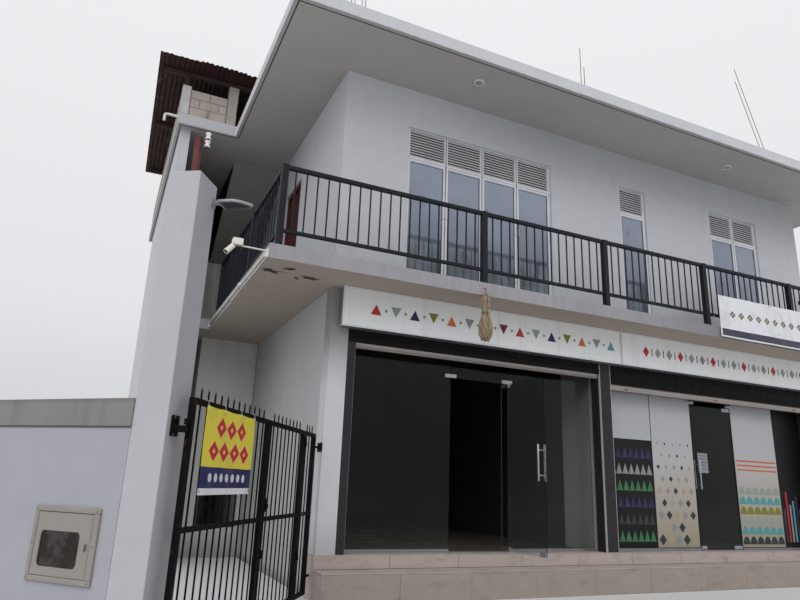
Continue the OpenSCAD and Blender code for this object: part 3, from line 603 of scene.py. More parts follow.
class Shape:
    """Collects closed shells, drawn in one of the building's frames, into one mesh."""

    def __init__(self, frame=BUILD):
        self.frame = frame
        self.v, self.f, self.m, self.w = [], [], [], []
        self.bevel = 0.0

    def add(self, verts, faces, mat=0):
        o = len(self.v)
        self.v.extend(self.frame @ Vector(p) for p in verts)
        self.f.extend(tuple(o + i for i in f) for f in faces)
        self.m.extend([mat] * len(faces))
        self.w.extend([int(round(self.bevel * 1e5))] * len(faces))

    def box(self, x0, x1, y0, y1, z0, z1, mat=0):
        self.add(
            [(x0, y0, z0), (x1, y0, z0), (x1, y1, z0), (x0, y1, z0), (x0, y0, z1), (x1, y0, z1), (x1, y1, z1), (x0, y1, z1)],
            [(0, 3, 2, 1), (4, 5, 6, 7), (0, 1, 5, 4), (1, 2, 6, 5), (2, 3, 7, 6), (3, 0, 4, 7)], mat)

    def prism(self, outline, at, d0, d1, mat=0):
        """outline is a list of (a, b); at(a, b, d) gives the point."""
        n = len(outline)
        verts = [at(a, b, d0) for a, b in outline] + [at(a, b, d1) for a, b in outline]
        faces = [tuple(range(n - 1, -1, -1)), tuple(range(n, 2 * n))]
        faces += [(i, (i + 1) % n, n + (i + 1) % n, n + i) for i in range(n)]
        self.add(verts, faces, mat)

    def plate(self, outline, y0, y1, mat=0):
        self.prism(outline, lambda a, b, d: (a, d, b), y0, y1, mat)

    def tube(self, points, radius, sides=12, mat=0, tip=False):
        pts = [Vector(p) for p in points]
        n = len(pts)
        radii = radius if isinstance(radius, (list, tuple)) else [radius] * n
        tang = []
        for i in range(n):
            a, b = pts[max(0, i - 1)], pts[min(n - 1, i + 1)]
            tang.append((b - a).normalized())
        ref = Vector((0, 0, 1)) if abs(tang[0].z) < 0.9 else Vector((1, 0, 0))
        u = tang[0].cross(ref).normalized()
        verts, faces = [], []
        for i in range(n):
            if i:
                u = (u - tang[i] * u.dot(tang[i])).normalized()
            w = tang[i].cross(u)
            for k in range(sides):
                a = 2 * math.pi * k / sides
                verts.append(pts[i] + (u * math.cos(a) + w * math.sin(a)) * radii[i])
        for i in range(n - 1):
            for k in range(sides):
                k2 = (k + 1) % sides
                faces.append((i * sides + k, i * sides + k2, (i + 1) * sides + k2, (i + 1) * sides + k))
        faces.append(tuple(range(sides - 1, -1, -1)))
        if tip:
            verts.append(pts[-1] + tang[-1] * tip)
            for k in range(sides):
                faces.append(((n - 1) * sides + k, (n - 1) * sides + (k + 1) % sides, n * sides))
        else:
            faces.append(tuple((n - 1) * sides + k for k in range(sides)))
        self.add(verts, faces, mat)

    def lathe(self, profile, centre, axis=(0, 0, 1), sides=24, mat=0):
        """profile: (radius, height along the axis), closed at both ends."""
        c, a = Vector(centre), Vector(axis).normalized()
        ref = Vector((1, 0, 0)) if abs(a.x) < 0.9 else Vector((0, 1, 0))
        u = a.cross(ref).normalized()
        w = a.cross(u)
        prof = list(profile)
        verts, faces = [], []
        n = len(prof)
        for r, h in prof:
            for k in range(sides):
                t = 2 * math.pi * k / sides
                verts.append(c + a * h + (u * math.cos(t) + w * math.sin(t)) * max(r, 1e-5))
        for i in range(n - 1):
            for k in range(sides):
                k2 = (k + 1) % sides
                faces.append((i * sides + k, i * sides + k2, (i + 1) * sides + k2, (i + 1) * sides + k))
        faces.append(tuple(range(sides - 1, -1, -1)))
        faces.append(tuple((n - 1) * sides + k for k in range(sides)))
        self.add(verts, faces, mat)

    def sheet(self, point, nu, nv, thick, mat=0, uv=None):
        """A closed thin sheet over the surface point(u, v), u and v from 0 to 1."""
        e = 1e-4
        top, low = [], []
        for j in range(nv + 1):
            for i in range(nu + 1):
                u, v = i / nu, j / nv
                p = Vector(point(u, v))
                du = Vector(point(min(1, u + e), v)) - Vector(point(max(0, u - e), v))
                dv = Vector(point(u, min(1, v + e))) - Vector(point(u, max(0, v - e)))
                nrm = du.cross(dv).normalized() * (thick / 2)
                top.append(p + nrm)
                low.append(p - nrm)
        w = nu + 1
        q = w * (nv + 1)
        faces = []
        for j in range(nv):
            for i in range(nu):
                a = j * w + i
                faces.append((a, a + 1, a + w + 1, a + w))
                faces.append((q + a, q + a + w, q + a + w + 1, q + a + 1))
        for i in range(nu):
            faces.append((i, q + i, q + i + 1, i + 1))
            a = nv * w + i
            faces.append((a, a + 1, q + a + 1, q + a))
        for j in range(nv):
            a = j * w
            faces.append((a, a + w, q + a + w, q + a))
            a = j * w + nu
            faces.append((a, q + a, q + a + w, a + w))
        self.add(top + low, faces, mat)


def make(name, shape, mats, body="building", replaces=(), segs=1, sharp=38.0, weighted=True):
    mesh = bpy.data.meshes.new(name)
    mesh.from_pydata([tuple(p) for p in shape.v], [], shape.f)
    for m in mats if isinstance(mats, (list, tuple)) else [mats]:
        mesh.materials.append(m)
    mesh.polygons.foreach_set("material_index", shape.m)
    bm = bmesh.new()
    bm.from_mesh(mesh)
    bm.faces.ensure_lookup_table()
    layer = bm.faces.layers.int.new("w")
    for f, w in zip(bm.faces, shape.w):
        f[layer] = w
    bmesh.ops.recalc_face_normals(bm, faces=bm.faces)
    widths = sorted(set(shape.w) - {0})
    for w in widths:
        edges = [e for e in bm.edges if len(e.link_faces) == 2 and all(f[layer] == w for f in e.link_faces)
                 and e.calc_face_angle(0) > math.radians(30)]
        bmesh.ops.bevel(bm, geom=edges, offset=w * 1e-5, offset_type="OFFSET", segments=segs, profile=0.5, affect="EDGES", clamp_overlap=False)
    bm.faces.layers.int.remove(bm.faces.layers.int["w"])
    bm.to_mesh(mesh)
    bm.free()
    mesh.polygons.foreach_set("use_smooth", [True] * len(mesh.polygons))
    mesh.set_sharp_from_angle(angle=math.radians(sharp if not widths else 60.0))
    mesh.update()
    obj = bpy.data.objects.new(name, mesh)
    scene.collection.objects.link(obj)
    if widths and weighted:
        wn = obj.modifiers.new("even_normals", "WEIGHTED_NORMAL")
        wn.keep_sharp = True
    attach(obj, body)
    if replaces:
        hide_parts(*([replaces] if isinstance(replaces, str) else replaces))
    return obj


def set_mat(node, mat, soften=0.0):
    """A carried-over CAD node gets its finish, and a small rounding of its free edges."""
    o = NODES[node]
    o.data.materials.clear()
    o.data.materials.append(mat)
    if soften:
        weld = o.modifiers.new("weld", "WELD")
        weld.merge_threshold = 0.0002
        bev = o.modifiers.new("soften", "BEVEL")
        bev.width = soften
        bev.segments = 2
        bev.limit_method = "ANGLE"
        bev.angle_limit = math.radians(50)


# ------------------------------------------------------------------ masonry and slabs
for n in ("upper_front_wall", "upper_left_wall", "upper_right_wall", "upper_rear_wall"):
    set_mat(n, mat_wall_up)
for n in ("ground_left_wall", "ground_right_wall", "ground_rear_wall"):
    set_mat(n, mat_wall_low)
set_mat("partition_wall", mat_partition)
set_mat("corner_column", mat_column)
set_mat("alley_end_wall", mat_alley)
set_mat("roof_stair", mat_stair_shaded_sides, 0.004)
set_mat("bay_left_wall", mat_bay_out)
set_mat("bay_inner_wall", mat_alley)
set_mat("bay_rear_wall", mat_bay_out)
set_mat("first_floor_slab", mat_floor2, 0.006)
set_mat("roof_slab", mat_roof, 0.008)
set_mat("gate_pier", mat_pier, 0.008)
set_mat("boundary_wall", mat_boundary, 0.006)
set_mat("plinth", mat_plinth)
set_mat("front_step", mat_plinth)
for n in ("shop1_fixed_glass", "shop2_fixed_glass", "shop1_door_glass", "shop2_door_glass"):
    set_mat(n, mat_glass)
set_mat("glass_channels", mat_alu, 0.0015)
set_mat("shop1_door_fittings", mat_steel, 0.0015)
set_mat("shop2_door_fittings", mat_steel, 0.0015)

# tiles on the plinth's front, the step's tread and risers
rnd = random.Random(7)
s = Shape()
s.bevel = 0.0022
G = 0.0025


def tile_run(x0, x1, step, put):
    x = x0
    while x < x1 - 0.02:
        e = min(x + step, x1)
        if x1 - e < 0.12:
            e = x1
        put(x + G, e - G)
        x = e


tile_run(-0.018, 8.9, 0.9, lambda a, b: s.box(a, b, -0.0185, -0.004, -0.139, -0.006, 0))
tile_run(-0.018, 8.9, 0.9, lambda a, b: s.box(a, b, -0.0185, 0.20, -0.006, 0.0065, 1))
tile_run(-0.018, 8.9, 0.6, lambda a, b: s.box(a, b, -0.329, -0.0205, -0.156, -0.1425, 1))
tile_run(-0.018, 8.9, 0.9, lambda a, b: s.box(a, b, -0.3285, -0.314, -0.447, -0.159, 2))
s.box(-0.0185, -0.004, -0.313, -0.0195, -0.447, -0.159, 0)
s.box(-0.0185, -0.004, -0.0165, 0.36, -0.139, -0.009, 0)
s.box(-0.0185, -0.004, -0.0165, 0.36, -0.447, -0.142, 0)
make("step_tiles", s, [mat_riser, mat_tread, mat_riser_low])

# a dark strip under the roof's edge: painted shadow of a groove there, not a real groove
s = Shape()
d = 0.045
for x0, x1, y0, y1 in ((-1.018 + d, 9.918 - d, -1.015 + d, -1.015 + d + 0.014), (-1.018 + d, -1.018 + d + 0.014, -1.015 + d + 0.014, 2.5 + d),
                       (-1.92 + d, -1.018 + d, 2.5 + d, 2.5 + d + 0.014), (-1.92 + d, -1.92 + d + 0.014, 2.5 + d + 0.014, 8.45 - d),
                       (9.918 - d - 0.014, 9.918 - d, -1.015 + d + 0.014, 8.45 - d)):
    s.box(x0, x1, y0, y1, SOFFIT - 0.0016, SOFFIT + 0.004)
make("roof_groove_shadow_strip", s, mat_gasket)

# broken patches and bared bars under the balcony's corner
s = Shape()


def spall(cx, cy, rx, ry, turn, seed, z=3.049):
    r = random.Random(seed)
    n = 40
    ph = [r.random() * 6.28 for _ in range(4)]
    for ring, (k, z0, z1, mat) in enumerate(((1.0, -0.004, 0.004, 1), (0.78, -0.0055, 0.004, 0))):
        pts = []
        for i in range(n):
            a = 2 * math.pi * i / n
            q = k * (0.80 + 0.20 * math.sin(2 * a + ph[0]) * math.sin(a + ph[3]) + 0.16 * math.sin(5 * a + ph[1]) + 0.09 * math.sin(9 * a + ph[2]) + 0.10 * (r.random() - 0.5))
            px, py = math.cos(a) * rx * q, math.sin(a) * ry * q
            pts.append((cx + px * math.cos(turn) - py * math.sin(turn), cy + px * math.sin(turn) + py * math.cos(turn)))
        s.prism(pts, lambda a, b, d: (a, b, z + d), z0, z1, mat)


spall(-0.838, -0.232, 0.15, 0.075, 0.5, 1)
spall(-0.66, -0.40, 0.10, 0.055, -0.4, 2)
spall(-0.344, -0.195, 0.15, 0.075, 0.2, 3)
spall(-0.50, -0.11, 0.07, 0.03, 0.9, 4)
s.tube([(-0.95, -0.20, 3.0475), (-0.80, -0.24, 3.0462), (-0.66, -0.25, 3.0475)], 0.004, 8, 2)
s.tube([(-0.47, -0.17, 3.0475), (-0.34, -0.19, 3.0462), (-0.22, -0.20, 3.0475)], 0.004, 8, 2)
make("balcony_spalls", s, [mat_spall, mat_spall_rim, mat_bar], weighted=False)

# soffit lamps
s = Shape()
for x, y in ((1.68, -0.59), (6.56, -0.52)):
    s.lathe([(0.0, 0.0), (0.074, 0.0), (0.075, -0.006), (0.070, -0.0145), (0.062, -0.016), (0.060, -0.012), (0.0, -0.012)], (x, y, SOFFIT), sides=36)
    s.lathe([(0.0, -0.009), (0.056, -0.009), (0.050, -0.0135), (0.030, -0.0155), (0.0, -0.0158)], (x, y, SOFFIT), sides=32, mat=1)
make("soffit_lamp_rings", s, [mat_pvc, mat_diffuser], replaces="soffit_lamps")

# ------------------------------------------------------------------ upper windows
FRONT = [(0.93, 3.31, 4, 0), (4.66, 5.20, 1, 1), (6.67, 7.82, 2, 2)]
REAR = [(1.50, 2.65, 2, 0), (6.25, 7.40, 2, 1)]


def window(s, g, x0, x1, n, yf, side, z0, z1, zt):
    """yf is the outer face; side +1 looks to -Y, -1 looks to +Y."""

    def bx(shape, xa, xb, d0, d1, za, zb, mat=0):
        a, b = yf + side * d0, yf + side * d1
        shape.box(xa, xb, min(a, b), max(a, b), za, zb, mat)

    b, bt = 0.019, 0.012
    s.bevel = 0.0025
    bx(s, x0, x0 + b, 0.0, 0.060, z0, z1)
    bx(s, x1 - b, x1, 0.0, 0.060, z0, z1)
    bx(s, x0 + b, x1 - b, 0.0, 0.060, z1 - bt, z1)
    bx(s, x0 + b, x1 - b, -0.012, 0.060, z0, z0 + b)
    step = (x1 - x0 - 2 * b + 0.016) / n
    for i in range(n):
        a = x0 + b + i * step
        c = a + step - 0.016
        if i:
            s.bevel = 0.001
            bx(s, a - 0.016, a, 0.026, 0.060, z0 + b, z1 - bt, 1)
        s.bevel = 0.0025
        st = 0.029
        # sash round the glass
        bx(s, a, a + st, 0.004, 0.044, z0 + b, zt - 0.012)
        bx(s, c - st, c, 0.004, 0.044, z0 + b, zt - 0.012)
        bx(s, a + st, c - st, 0.006, 0.042, z0 + b, z0 + b + 0.045)
        bx(s, a + st, c - st, 0.006, 0.042, zt - 0.012 - 0.036, zt - 0.012)
        # transom and vent frame
        bx(s, a, c, 0.0, 0.058, zt - 0.010, zt + 0.024)
        bx(s, a, a + 0.020, 0.004, 0.056, zt + 0.024, z1 - bt)
        bx(s, c - 0.020, c, 0.004, 0.056, zt + 0.024, z1 - bt)
        # gasket and pane
        s.bevel = 0.0
        ga = 0.004
        bx(s, a + st - 0.001, a + st + ga, 0.018, 0.034, z0 + b + 0.045, zt - 0.048, 1)
        bx(s, c - st - ga, c - st + 0.001, 0.018, 0.034, z0 + b + 0.045, zt - 0.048, 1)
        bx(g, a + st - 0.004, c - st + 0.004, 0.024, 0.030, z0 + b + 0.040, zt - 0.044)
        # louvre blades
        la, lb = zt + 0.028, z1 - bt - 0.003
        k = 10
        p = (lb - la) / k
        # a dark plate behind the blades: painted shade of the vent's depth
        bx(s, a + 0.018, c - 0.018, 0.050, 0.056, zt + 0.02, z1 - bt + 0.004, 2)
        for j in range(k):
            zc = la + (j + 0.5) * p
            out = [(0.007, zc - p * 0.47), (0.0095, zc - p * 0.50), (0.034, zc + p * 0.38), (0.0315, zc + p * 0.42)]
            xs = (a + 0.0195, c - 0.0195)
            s.prism([(yf + side * q, w) for q, w in out], lambda u, w, d: (d, u, w), xs[0], xs[1], 3)
        # handle
        s.bevel = 0.001
        if n > 1:
            hx = c - st / 2 if i % 2 == 0 else a + st / 2
            bx(s, hx - 0.008, hx + 0.008, -0.010, 0.006, z0 + 1.02, z0 + 1.14, 0)


s, g = Shape(), Shape()
for x0, x1, n, _ in FRONT:
    window(s, g, x0, x1, n, 0.030, 1, FLOOR2 + 0.032, FLOOR2 + 2.297, FLOOR2 + 1.852)
make("front_window_joinery", s, [mat_frame, mat_gasket, mat_shadow_fill, mat_louvre], replaces="front_window_frames")
s2 = Shape()
for x0, x1, n, _ in REAR:
    window(s2, g, x0, x1, n, 7.970, -1, FLOOR2 + 0.900, FLOOR2 + 2.297, FLOOR2 + 1.852)
make("rear_window_joinery", s2, [mat_frame, mat_gasket, mat_shadow_fill, mat_louvre], replaces="rear_window_frames")
make("window_panes", g, mat_window_painted_reflection, replaces="window_glass")

# thin plaster sills under the windows
s = Shape()
s.bevel = 0.003
for x0, x1, n, _ in FRONT:
    s.box(x0 - 0.02, x1 + 0.02, -0.028, 0.030, FLOOR2 + 0.006, FLOOR2 + 0.032)
for x0, x1, n, _ in REAR:
    s.box(x0 - 0.03, x1 + 0.03, 7.968, 8.035, FLOOR2 + 0.868, FLOOR2 + 0.900)
make("window_sills", s, mat_wall_up)

# ------------------------------------------------------------------ upper doors
s = Shape()
s.bevel = 0.003
s.box(0.030, 0.150, 2.000, 2.058, FLOOR2, FLOOR2 + 2.170)
s.box(0.030, 0.150, 2.842, 2.900, FLOOR2, FLOOR2 + 2.170)
s.box(0.030, 0.150, 2.058, 2.842, FLOOR2 + 2.112, FLOOR2 + 2.170)
s.box(0.060, 0.105, 2.062, 2.150, FLOOR2 + 0.008, FLOOR2 + 2.108)
s.box(0.060, 0.105, 2.750, 2.838, FLOOR2 + 0.008, FLOOR2 + 2.108)
for z0, z1 in ((0.008, 0.20), (0.92, 1.06), (1.98, 2.108)):
    s.box(0.060, 0.105, 2.150, 2.750, FLOOR2 + z0, FLOOR2 + z1)
for y in range(4):
    a = 2.150 + y * 0.150
    for z0, z1 in ((0.20, 0.92), (1.06, 1.98)):
        s.box(0.068, 0.097, a + 0.003, a + 0.147, FLOOR2 + z0 - 0.004, FLOOR2 + z1 + 0.004)
s.bevel = 0.002
s.box(0.052, 0.062, 2.775, 2.812, FLOOR2 + 0.93, FLOOR2 + 1.10, 1)
s.tube([(0.050, 2.793, FLOOR2 + 1.03), (0.022, 2.793, FLOOR2 + 1.03), (0.014, 2.786, FLOOR2 + 1.03), (0.014, 2.70, FLOOR2 + 1.028)], 0.0075, 10, 1)
for z in (0.22, 1.1, 1.92):
    s.tube([(0.056, 2.060, FLOOR2 + z), (0.056, 2.060, FLOOR2 + z + 0.10)], 0.007, 10, 1)
make("side_door_joinery", s, [mat_red_door, mat_steel], replaces="side_door")

# ------------------------------------------------------------------ shop front
s = Shape()
# left guide: a channel with a slot, a light edge and its screws
s.bevel = 0.002
s.box(0.230, 0.335, 0.010, 0.022, 0.0, 2.410)
s.box(0.230, 0.242, 0.022, 0.110, 0.0, 2.410)
s.box(0.242, 0.335, 0.098, 0.110, 0.0, 2.410)
s.box(0.300, 0.3345, 0.022, 0.034, 0.0, 2.408)
s.box(0.300, 0.3345, 0.084, 0.098, 0.0, 2.408)
# right guide
s.box(8.610, 8.700, 0.010, 0.022, 0.0, 2.300)
s.box(8.688, 8.700, 0.022, 0.110, 0.0, 2.300)
s.box(8.610, 8.688, 0.098, 0.110, 0.0, 2.300)
s.box(8.6105, 8.640, 0.022, 0.034, 0.0, 2.298)
s.box(8.6105, 8.640, 0.084, 0.098, 0.0, 2.298)
# middle post: a cased box with two channels
s.box(4.083, 4.267, 0.000, 0.014, 0.012, 2.559)
s.box(4.083, 4.267, 0.014, 0.176, 0.0, 2.559)
s.box(4.075, 4.083, 0.040, 0.190, 0.0, 2.559)
s.box(4.267, 4.275, 0.040, 0.190, 0.0, 2.559)
# light edges
s.bevel = 0.0012
s.box(4.0750, 4.0838, -0.0005, 0.030, 0.0, 2.558, 1)
s.box(4.2662, 4.2750, -0.0005, 0.030, 0.0, 2.558, 1)
s.box(4.0838, 4.2662, -0.0005, 0.012, 0.0, 0.011, 1)
s.box(0.3350, 0.3385, 0.0085, 0.030, 0.0, 2.408, 1)
s.box(8.6070, 8.6100, 0.0085, 0.030, 0.0, 2.298, 1)
s.bevel = 0.0
for z in (0.25, 0.75, 1.25, 1.75, 2.25):
    for x in (0.262, 8.665, 4.115, 4.235):
        yy = 0.010 if x < 1 or x > 8 else 0.0
        s.lathe([(0.0, -0.0022), (0.004, -0.002), (0.0058, 0.0), (0.0058, 0.004), (0.0, 0.004)], (x, yy, z), axis=(0, 1, 0), sides=12, mat=2)
make("shutter_channels", s, [mat_dark, mat_trim, mat_screw], replaces="shutter_guides")

s = Shape()
for x0, x1, zb in ((0.230, 4.075, 2.410), (4.275, 8.700, 2.300)):
    # fascia folded from sheet, with a return lip and a slot for the curtain
    outline = [(0.0, zb + 0.004), (0.0, zb + 0.062), (0.010, zb + 0.070), (0.010, zb + 0.110), (0.002, zb + 0.118), (0.002, zb + 0.44), (0.340, zb + 0.44),
               (0.340, zb), (0.112, zb), (0.112, zb + 0.030), (0.034, zb + 0.030), (0.034, zb), (0.004, zb)]
    outline = [(a, min(b, 3.049)) for a, b in outline]
    s.bevel = 0.0
    s.prism(outline, lambda a, b, d: (d, a, b), x0, x1, 0)
    s.bevel = 0.002
    # rolled-up curtain's last slats in the slot
    for j in range(2):
        s.box(x0 + 0.02, x1 - 0.02, 0.052, 0.068, zb + 0.004 + j * 0.014, zb + 0.016 + j * 0.014, 1)
    # seams
    n = 3
    for k in range(1, n):
        x = x0 + (x1 - x0) * k / n
        s.box(x - 0.012, x + 0.012, -0.0012, 0.004, zb + 0.006, zb + 0.060, 0)
# ribbed underside panels
for x0, x1, zb in ((0.232, 4.073, 2.410), (4.277, 8.698, 2.300)):
    for k in range(5):
        a = 0.125 + k * 0.042
        s.box(x0 + 0.004, x1 - 0.004, a, a + 0.030, zb - 0.0035, zb + 0.002, 0)
make("shutter_housings", s, [mat_shutter_box_shade, mat_roller_dark], replaces="shutter_boxes", sharp=25)

s = Shape()
# first shop: round bottom tube with a flat top edge and end plates
s.tube([(0.342, 0.060, 2.376), (4.068, 0.060, 2.376)], 0.030, 20, 0)
s.bevel = 0.0015
s.box(0.345, 4.065, 0.028, 0.040, 2.394, 2.4075, 1)
s.box(0.345, 4.065, 0.0285, 0.034, 2.362, 2.370, 2)
s.box(0.340, 0.352, 0.030, 0.090, 2.346, 2.406, 2)
s.box(4.058, 4.070, 0.030, 0.090, 2.346, 2.406, 2)
# second shop: a folded bottom bar, its light upper lip and rubber foot
outline = [(0.040, 2.214), (0.040, 2.262), (0.046, 2.268), (0.046, 2.290), (0.052, 2.298), (0.068, 2.298), (0.074, 2.290), (0.074, 2.268), (0.080, 2.262), (0.080, 2.214), (0.074, 2.209), (0.046, 2.209)]
s.bevel = 0.0
s.prism(outline, lambda a, b, d: (d, a, b), 4.2800, 8.6050, 0)
s.bevel = 0.0015
s.box(4.2802, 8.6048, 0.0385, 0.0405, 2.262, 2.2735, 1)
s.box(4.284, 8.601, 0.050, 0.070, 2.2015, 2.2095, 2)
for x in (4.60, 6.44, 8.30):
    s.box(x - 0.03, x + 0.03, 0.0375, 0.0405, 2.225, 2.250, 2)
make("shutter_curtain_ends", s, [mat_roller, mat_trim, mat_roller_dark], replaces="shutter_bottom_bars", sharp=30)

# ------------------------------------------------------------------ signboards
s = Shape()
for x0, x1 in ((0.090, 4.378), (4.386, 8.810)):
    z0, z1 = 2.559, 3.049
    # tray sides, rear battens and edge frame
    s.bevel = 0.0018
    s.box(x0, x1, -0.1385, 0.0, z0, z0 + 0.018, 1)
    s.box(x0, x1, -0.1385, 0.0, z1 - 0.018, z1, 1)
    s.box(x0, x0 + 0.018, -0.1385, 0.0, z0 + 0.018, z1 - 0.018, 1)
    s.box(x1 - 0.018, x1, -0.1385, 0.0, z0 + 0.018, z1 - 0.018, 1)
    s.box(x0 + 0.0005, x1 - 0.0005, -0.142, -0.1365, z0 + 0.0005, z0 + 0.024, 2)
    s.box(x0 + 0.0005, x1 - 0.0005, -0.142, -0.1365, z1 - 0.024, z1 - 0.0005, 2)
    s.box(x0 + 0.0005, x0 + 0.024, -0.142, -0.1365, z0 + 0.024, z1 - 0.024, 2)
    s.box(x1 - 0.024, x1 - 0.0005, -0.142, -0.1365, z0 + 0.024, z1 - 0.024, 2)
    s.bevel = 0.0
    # the face sheet, a little slack between its fixings
    w = x1 - x0 - 0.04

    def face(u, v, x0=x0, w=w, z0=z0, z1=z1):
        return (x0 + 0.02 + u * w, -0.1368 + 0.0004 * math.sin(u * 21.0) * math.sin(v * math.pi), z0 + 0.02 + v * (z1 - z0 - 0.04))

    s.sheet(face, 64, 6, 0.0018, 0)
    s.box(x0 + 0.02, x1 - 0.02, -0.030, -0.004, z0 + 0.02, z1 - 0.02, 1)
    s.bevel = 0.0
    for k in range(9):
        x = x0 + 0.06 + (x1 - x0 - 0.12) * k / 8
        for z in (z0 + 0.012, z1 - 0.012):
            s.lathe([(0.0, -0.0016), (0.003, -0.0014), (0.0042, 0.0), (0.0042, 0.003), (0.0, 0.003)], (x, -0.142, z), axis=(0, 1, 0), sides=10, mat=3)
make("sign_panels", s, [mat_sign, mat_alu, mat_frame, mat_screw], replaces="signboards", sharp=30)

# plain borders on the sign faces, of cut vinyl
ink_names = list(INKS)
ink_list = [INKS[k] for k in ink_names]
INK = {k: i for i, k in enumerate(ink_names)}


def disc(cx, cz, r, n=20, sx=1.0):
    return [(cx + sx * r * math.cos(2 * math.pi * i / n), cz + r * math.sin(2 * math.pi * i / n)) for i in range(n)]


def ring(s, cx, cz, r0, r1, y0, y1, mat, n=28, a0=0.0, a1=2 * math.pi, sx=1.0):
    """A flat ring, or an arc of one."""
    full = abs(a1 - a0) > 2 * math.pi - 1e-6
    if full:
        half = math.pi
        ring(s, cx, cz, r0, r1, y0, y1, mat, n // 2, a0, a0 + half, sx)
        ring(s, cx, cz, r0, r1, y0, y1, mat, n // 2, a0 + half, a0 + 2 * half, sx)
        return
    pts = [(cx + sx * r1 * math.cos(a0 + (a1 - a0) * i / n), cz + r1 * math.sin(a0 + (a1 - a0) * i / n)) for i in range(n + 1)]
    pts += [(cx + sx * r0 * math.cos(a0 + (a1 - a0) * i / n), cz + r0 * math.sin(a0 + (a1 - a0) * i / n)) for i in range(n, -1, -1)]
    s.plate(pts, y0, y1, mat)


s = Shape()
ya, yb = -0.1400, -0.1370
# first sign: one even border of triangles between small dots, its colours repeating
cycle = ("red", "sage", "navy", "olive", "orange", "grey", "teal", "maroon")
for k in range(15):
    x = 0.52 + k * 0.262
    if k % 2:
        s.plate([(x - 0.070, 2.872), (x, 2.742), (x + 0.070, 2.872)], ya, yb, INK[cycle[k % 8]])
    else:
        s.plate([(x - 0.070, 2.742), (x + 0.070, 2.742), (x, 2.872)], ya, yb, INK[cycle[k % 8]])
    if k < 14:
        s.plate(disc(x + 0.131, 2.807, 0.019, 16), ya, yb, INK["grey"])
# second sign: one even border of upright lozenges between short posts
for k in range(17):
    x = 4.86 + k * 0.232
    s.plate([(x - 0.058, 2.807), (x, 2.727), (x + 0.058, 2.807), (x, 2.887)], ya, yb, INK[("red", "sage", "grey")[k % 3]])
    if k < 16:
        s.plate([(x + 0.108, 2.752), (x + 0.124, 2.752), (x + 0.124, 2.862), (x + 0.108, 2.862)], ya, yb, INK["charcoal"])
make("sign_motifs", s, ink_list, weighted=False)

# ------------------------------------------------------------------ vinyl on the second shop's glass
def printed(name, lo, hi, stops, wobble=0.05, patches=()):
    """A printed panel: its tone runs with height and is broken up by soft patches of other tones."""
    m = Mat(name, rough=0.45, spec=0.3)
    t = m.band(m.math("ADD", m.z, m.mul(m.math("SUBTRACT", m.noise(3.0, 4, 0.6), 0.5), wobble)), lo + OZ, hi + OZ, smooth=False)
    c = m.ramp(t, [(a, rgb(*b)) for a, b in stops])
    for k, (scale, a, b, z0, z1, tone, amount) in enumerate(patches):
        where = m.mul(m.band(m.noise(scale, 6, 0.68, shift=(k * 3.1 + 1, k, k * 1.7)), a, b), m.band(m.z, z0 + OZ - 0.03, z0 + OZ + 0.03), m.band(m.z, z1 + OZ + 0.03, z1 + OZ - 0.03))
        c = m.mix(m.mul(where, amount), c, rgb(*tone))
    m.color(c)
    m.roughness(m.ramp(m.noise(7, 3), [(0.3, 0.4), (0.75, 0.6)]))
    m.bump(m.noise(2.5, 2), 0.003, 0.2)
    return m.m


PRINTS = {
    "plain": printed("print_plain", 0.0, 2.3, [(0.0, (166, 168, 172)), (1.0, (180, 182, 187))], 0.2),
    "warm": printed("print_warm", 0.045, 2.28, [(0.0, (150, 143, 130)), (0.35, (170, 164, 152)), (0.55, (178, 178, 180)), (1.0, (181, 183, 188))], 0.08),
    "night": printed("print_night", 0.045, 2.28, [(0.0, (12, 12, 15)), (1.0, (22, 19, 22))], 0.1),
}
vin_list = ink_list + list(PRINTS.values())
VI = dict(INK)
for i, k in enumerate(PRINTS):
    VI[k] = len(ink_list) + i

s = Shape()
YB, YA = 0.2738, 0.2722   # backing sheets
YD, YC = 0.2722, 0.2708   # what is laid on them


def rect(x0, x1, z0, z1, col, top=True):
    s.plate([(x0, z0), (x1, z0), (x1, z1), (x0, z1)], YC if top else YA, YD if top else YB, VI[col])


# first pane: a dark sheet of zigzag rows under a pale head
rect(4.30, 5.255, 0.045, 1.545, "night", False)
rect(4.30, 5.255, 1.555, 2.24, "plain", False)
for j, col in enumerate(("green", "charcoal", "navy", "green", "grey", "navy")):
    z = 0.125 + j * 0.232
    for k in range(8):
        x = 4.318 + k * 0.1155
        s.plate([(x, z), (x + 0.110, z), (x + 0.055, z + 0.150)], YC, YD, VI[col])
# second pane: a lattice of lozenges that shrink upward
rect(5.27, 6.105, 0.045, 2.26, "warm", False)
for j in range(9):
    r = 0.078 - 0.007 * j
    for k in range(5 - j % 2):
        x, z = 5.3675 + k * 0.160 + 0.080 * (j % 2), 0.150 + j * 0.172
        s.plate([(x - r * 0.9, z), (x, z - r), (x + r * 0.9, z), (x, z + r)], YC, YD, VI[("charcoal", "sand", "grey")[(j + k) % 3]])
# third pane: rows of scallops in three tones, with three thin stripes over them
rect(7.03, 8.02, 0.045, 2.28, "warm", False)
for j, col in enumerate(("charcoal", "teal", "sage", "olive", "teal", "sage")):
    z = 0.085 + j * 0.150
    for k in range(6):
        cx = 7.1225 + k * 0.161
        s.plate([(cx + 0.076 * math.cos(math.pi * i / 14), z + 0.118 * math.sin(math.pi * i / 14)) for i in range(15)], YC, YD, VI[col])
for z in (1.20, 1.27, 1.34):
    rect(7.06, 7.99, z, z + 0.026, "orange")
# last pane: a dark sheet with upright stripes of uneven height
rect(8.03, 8.69, 0.045, 2.285, "night", False)
for k in range(8):
    x = 8.066 + k * 0.077
    rect(x, x + 0.040, 0.12, 0.62 + 0.30 * math.sin(k * 1.3) ** 2, ("charcoal", "red", "grey", "teal", "charcoal", "blue", "maroon", "grey")[k])
make("glass_vinyl", s, vin_list, weighted=False)

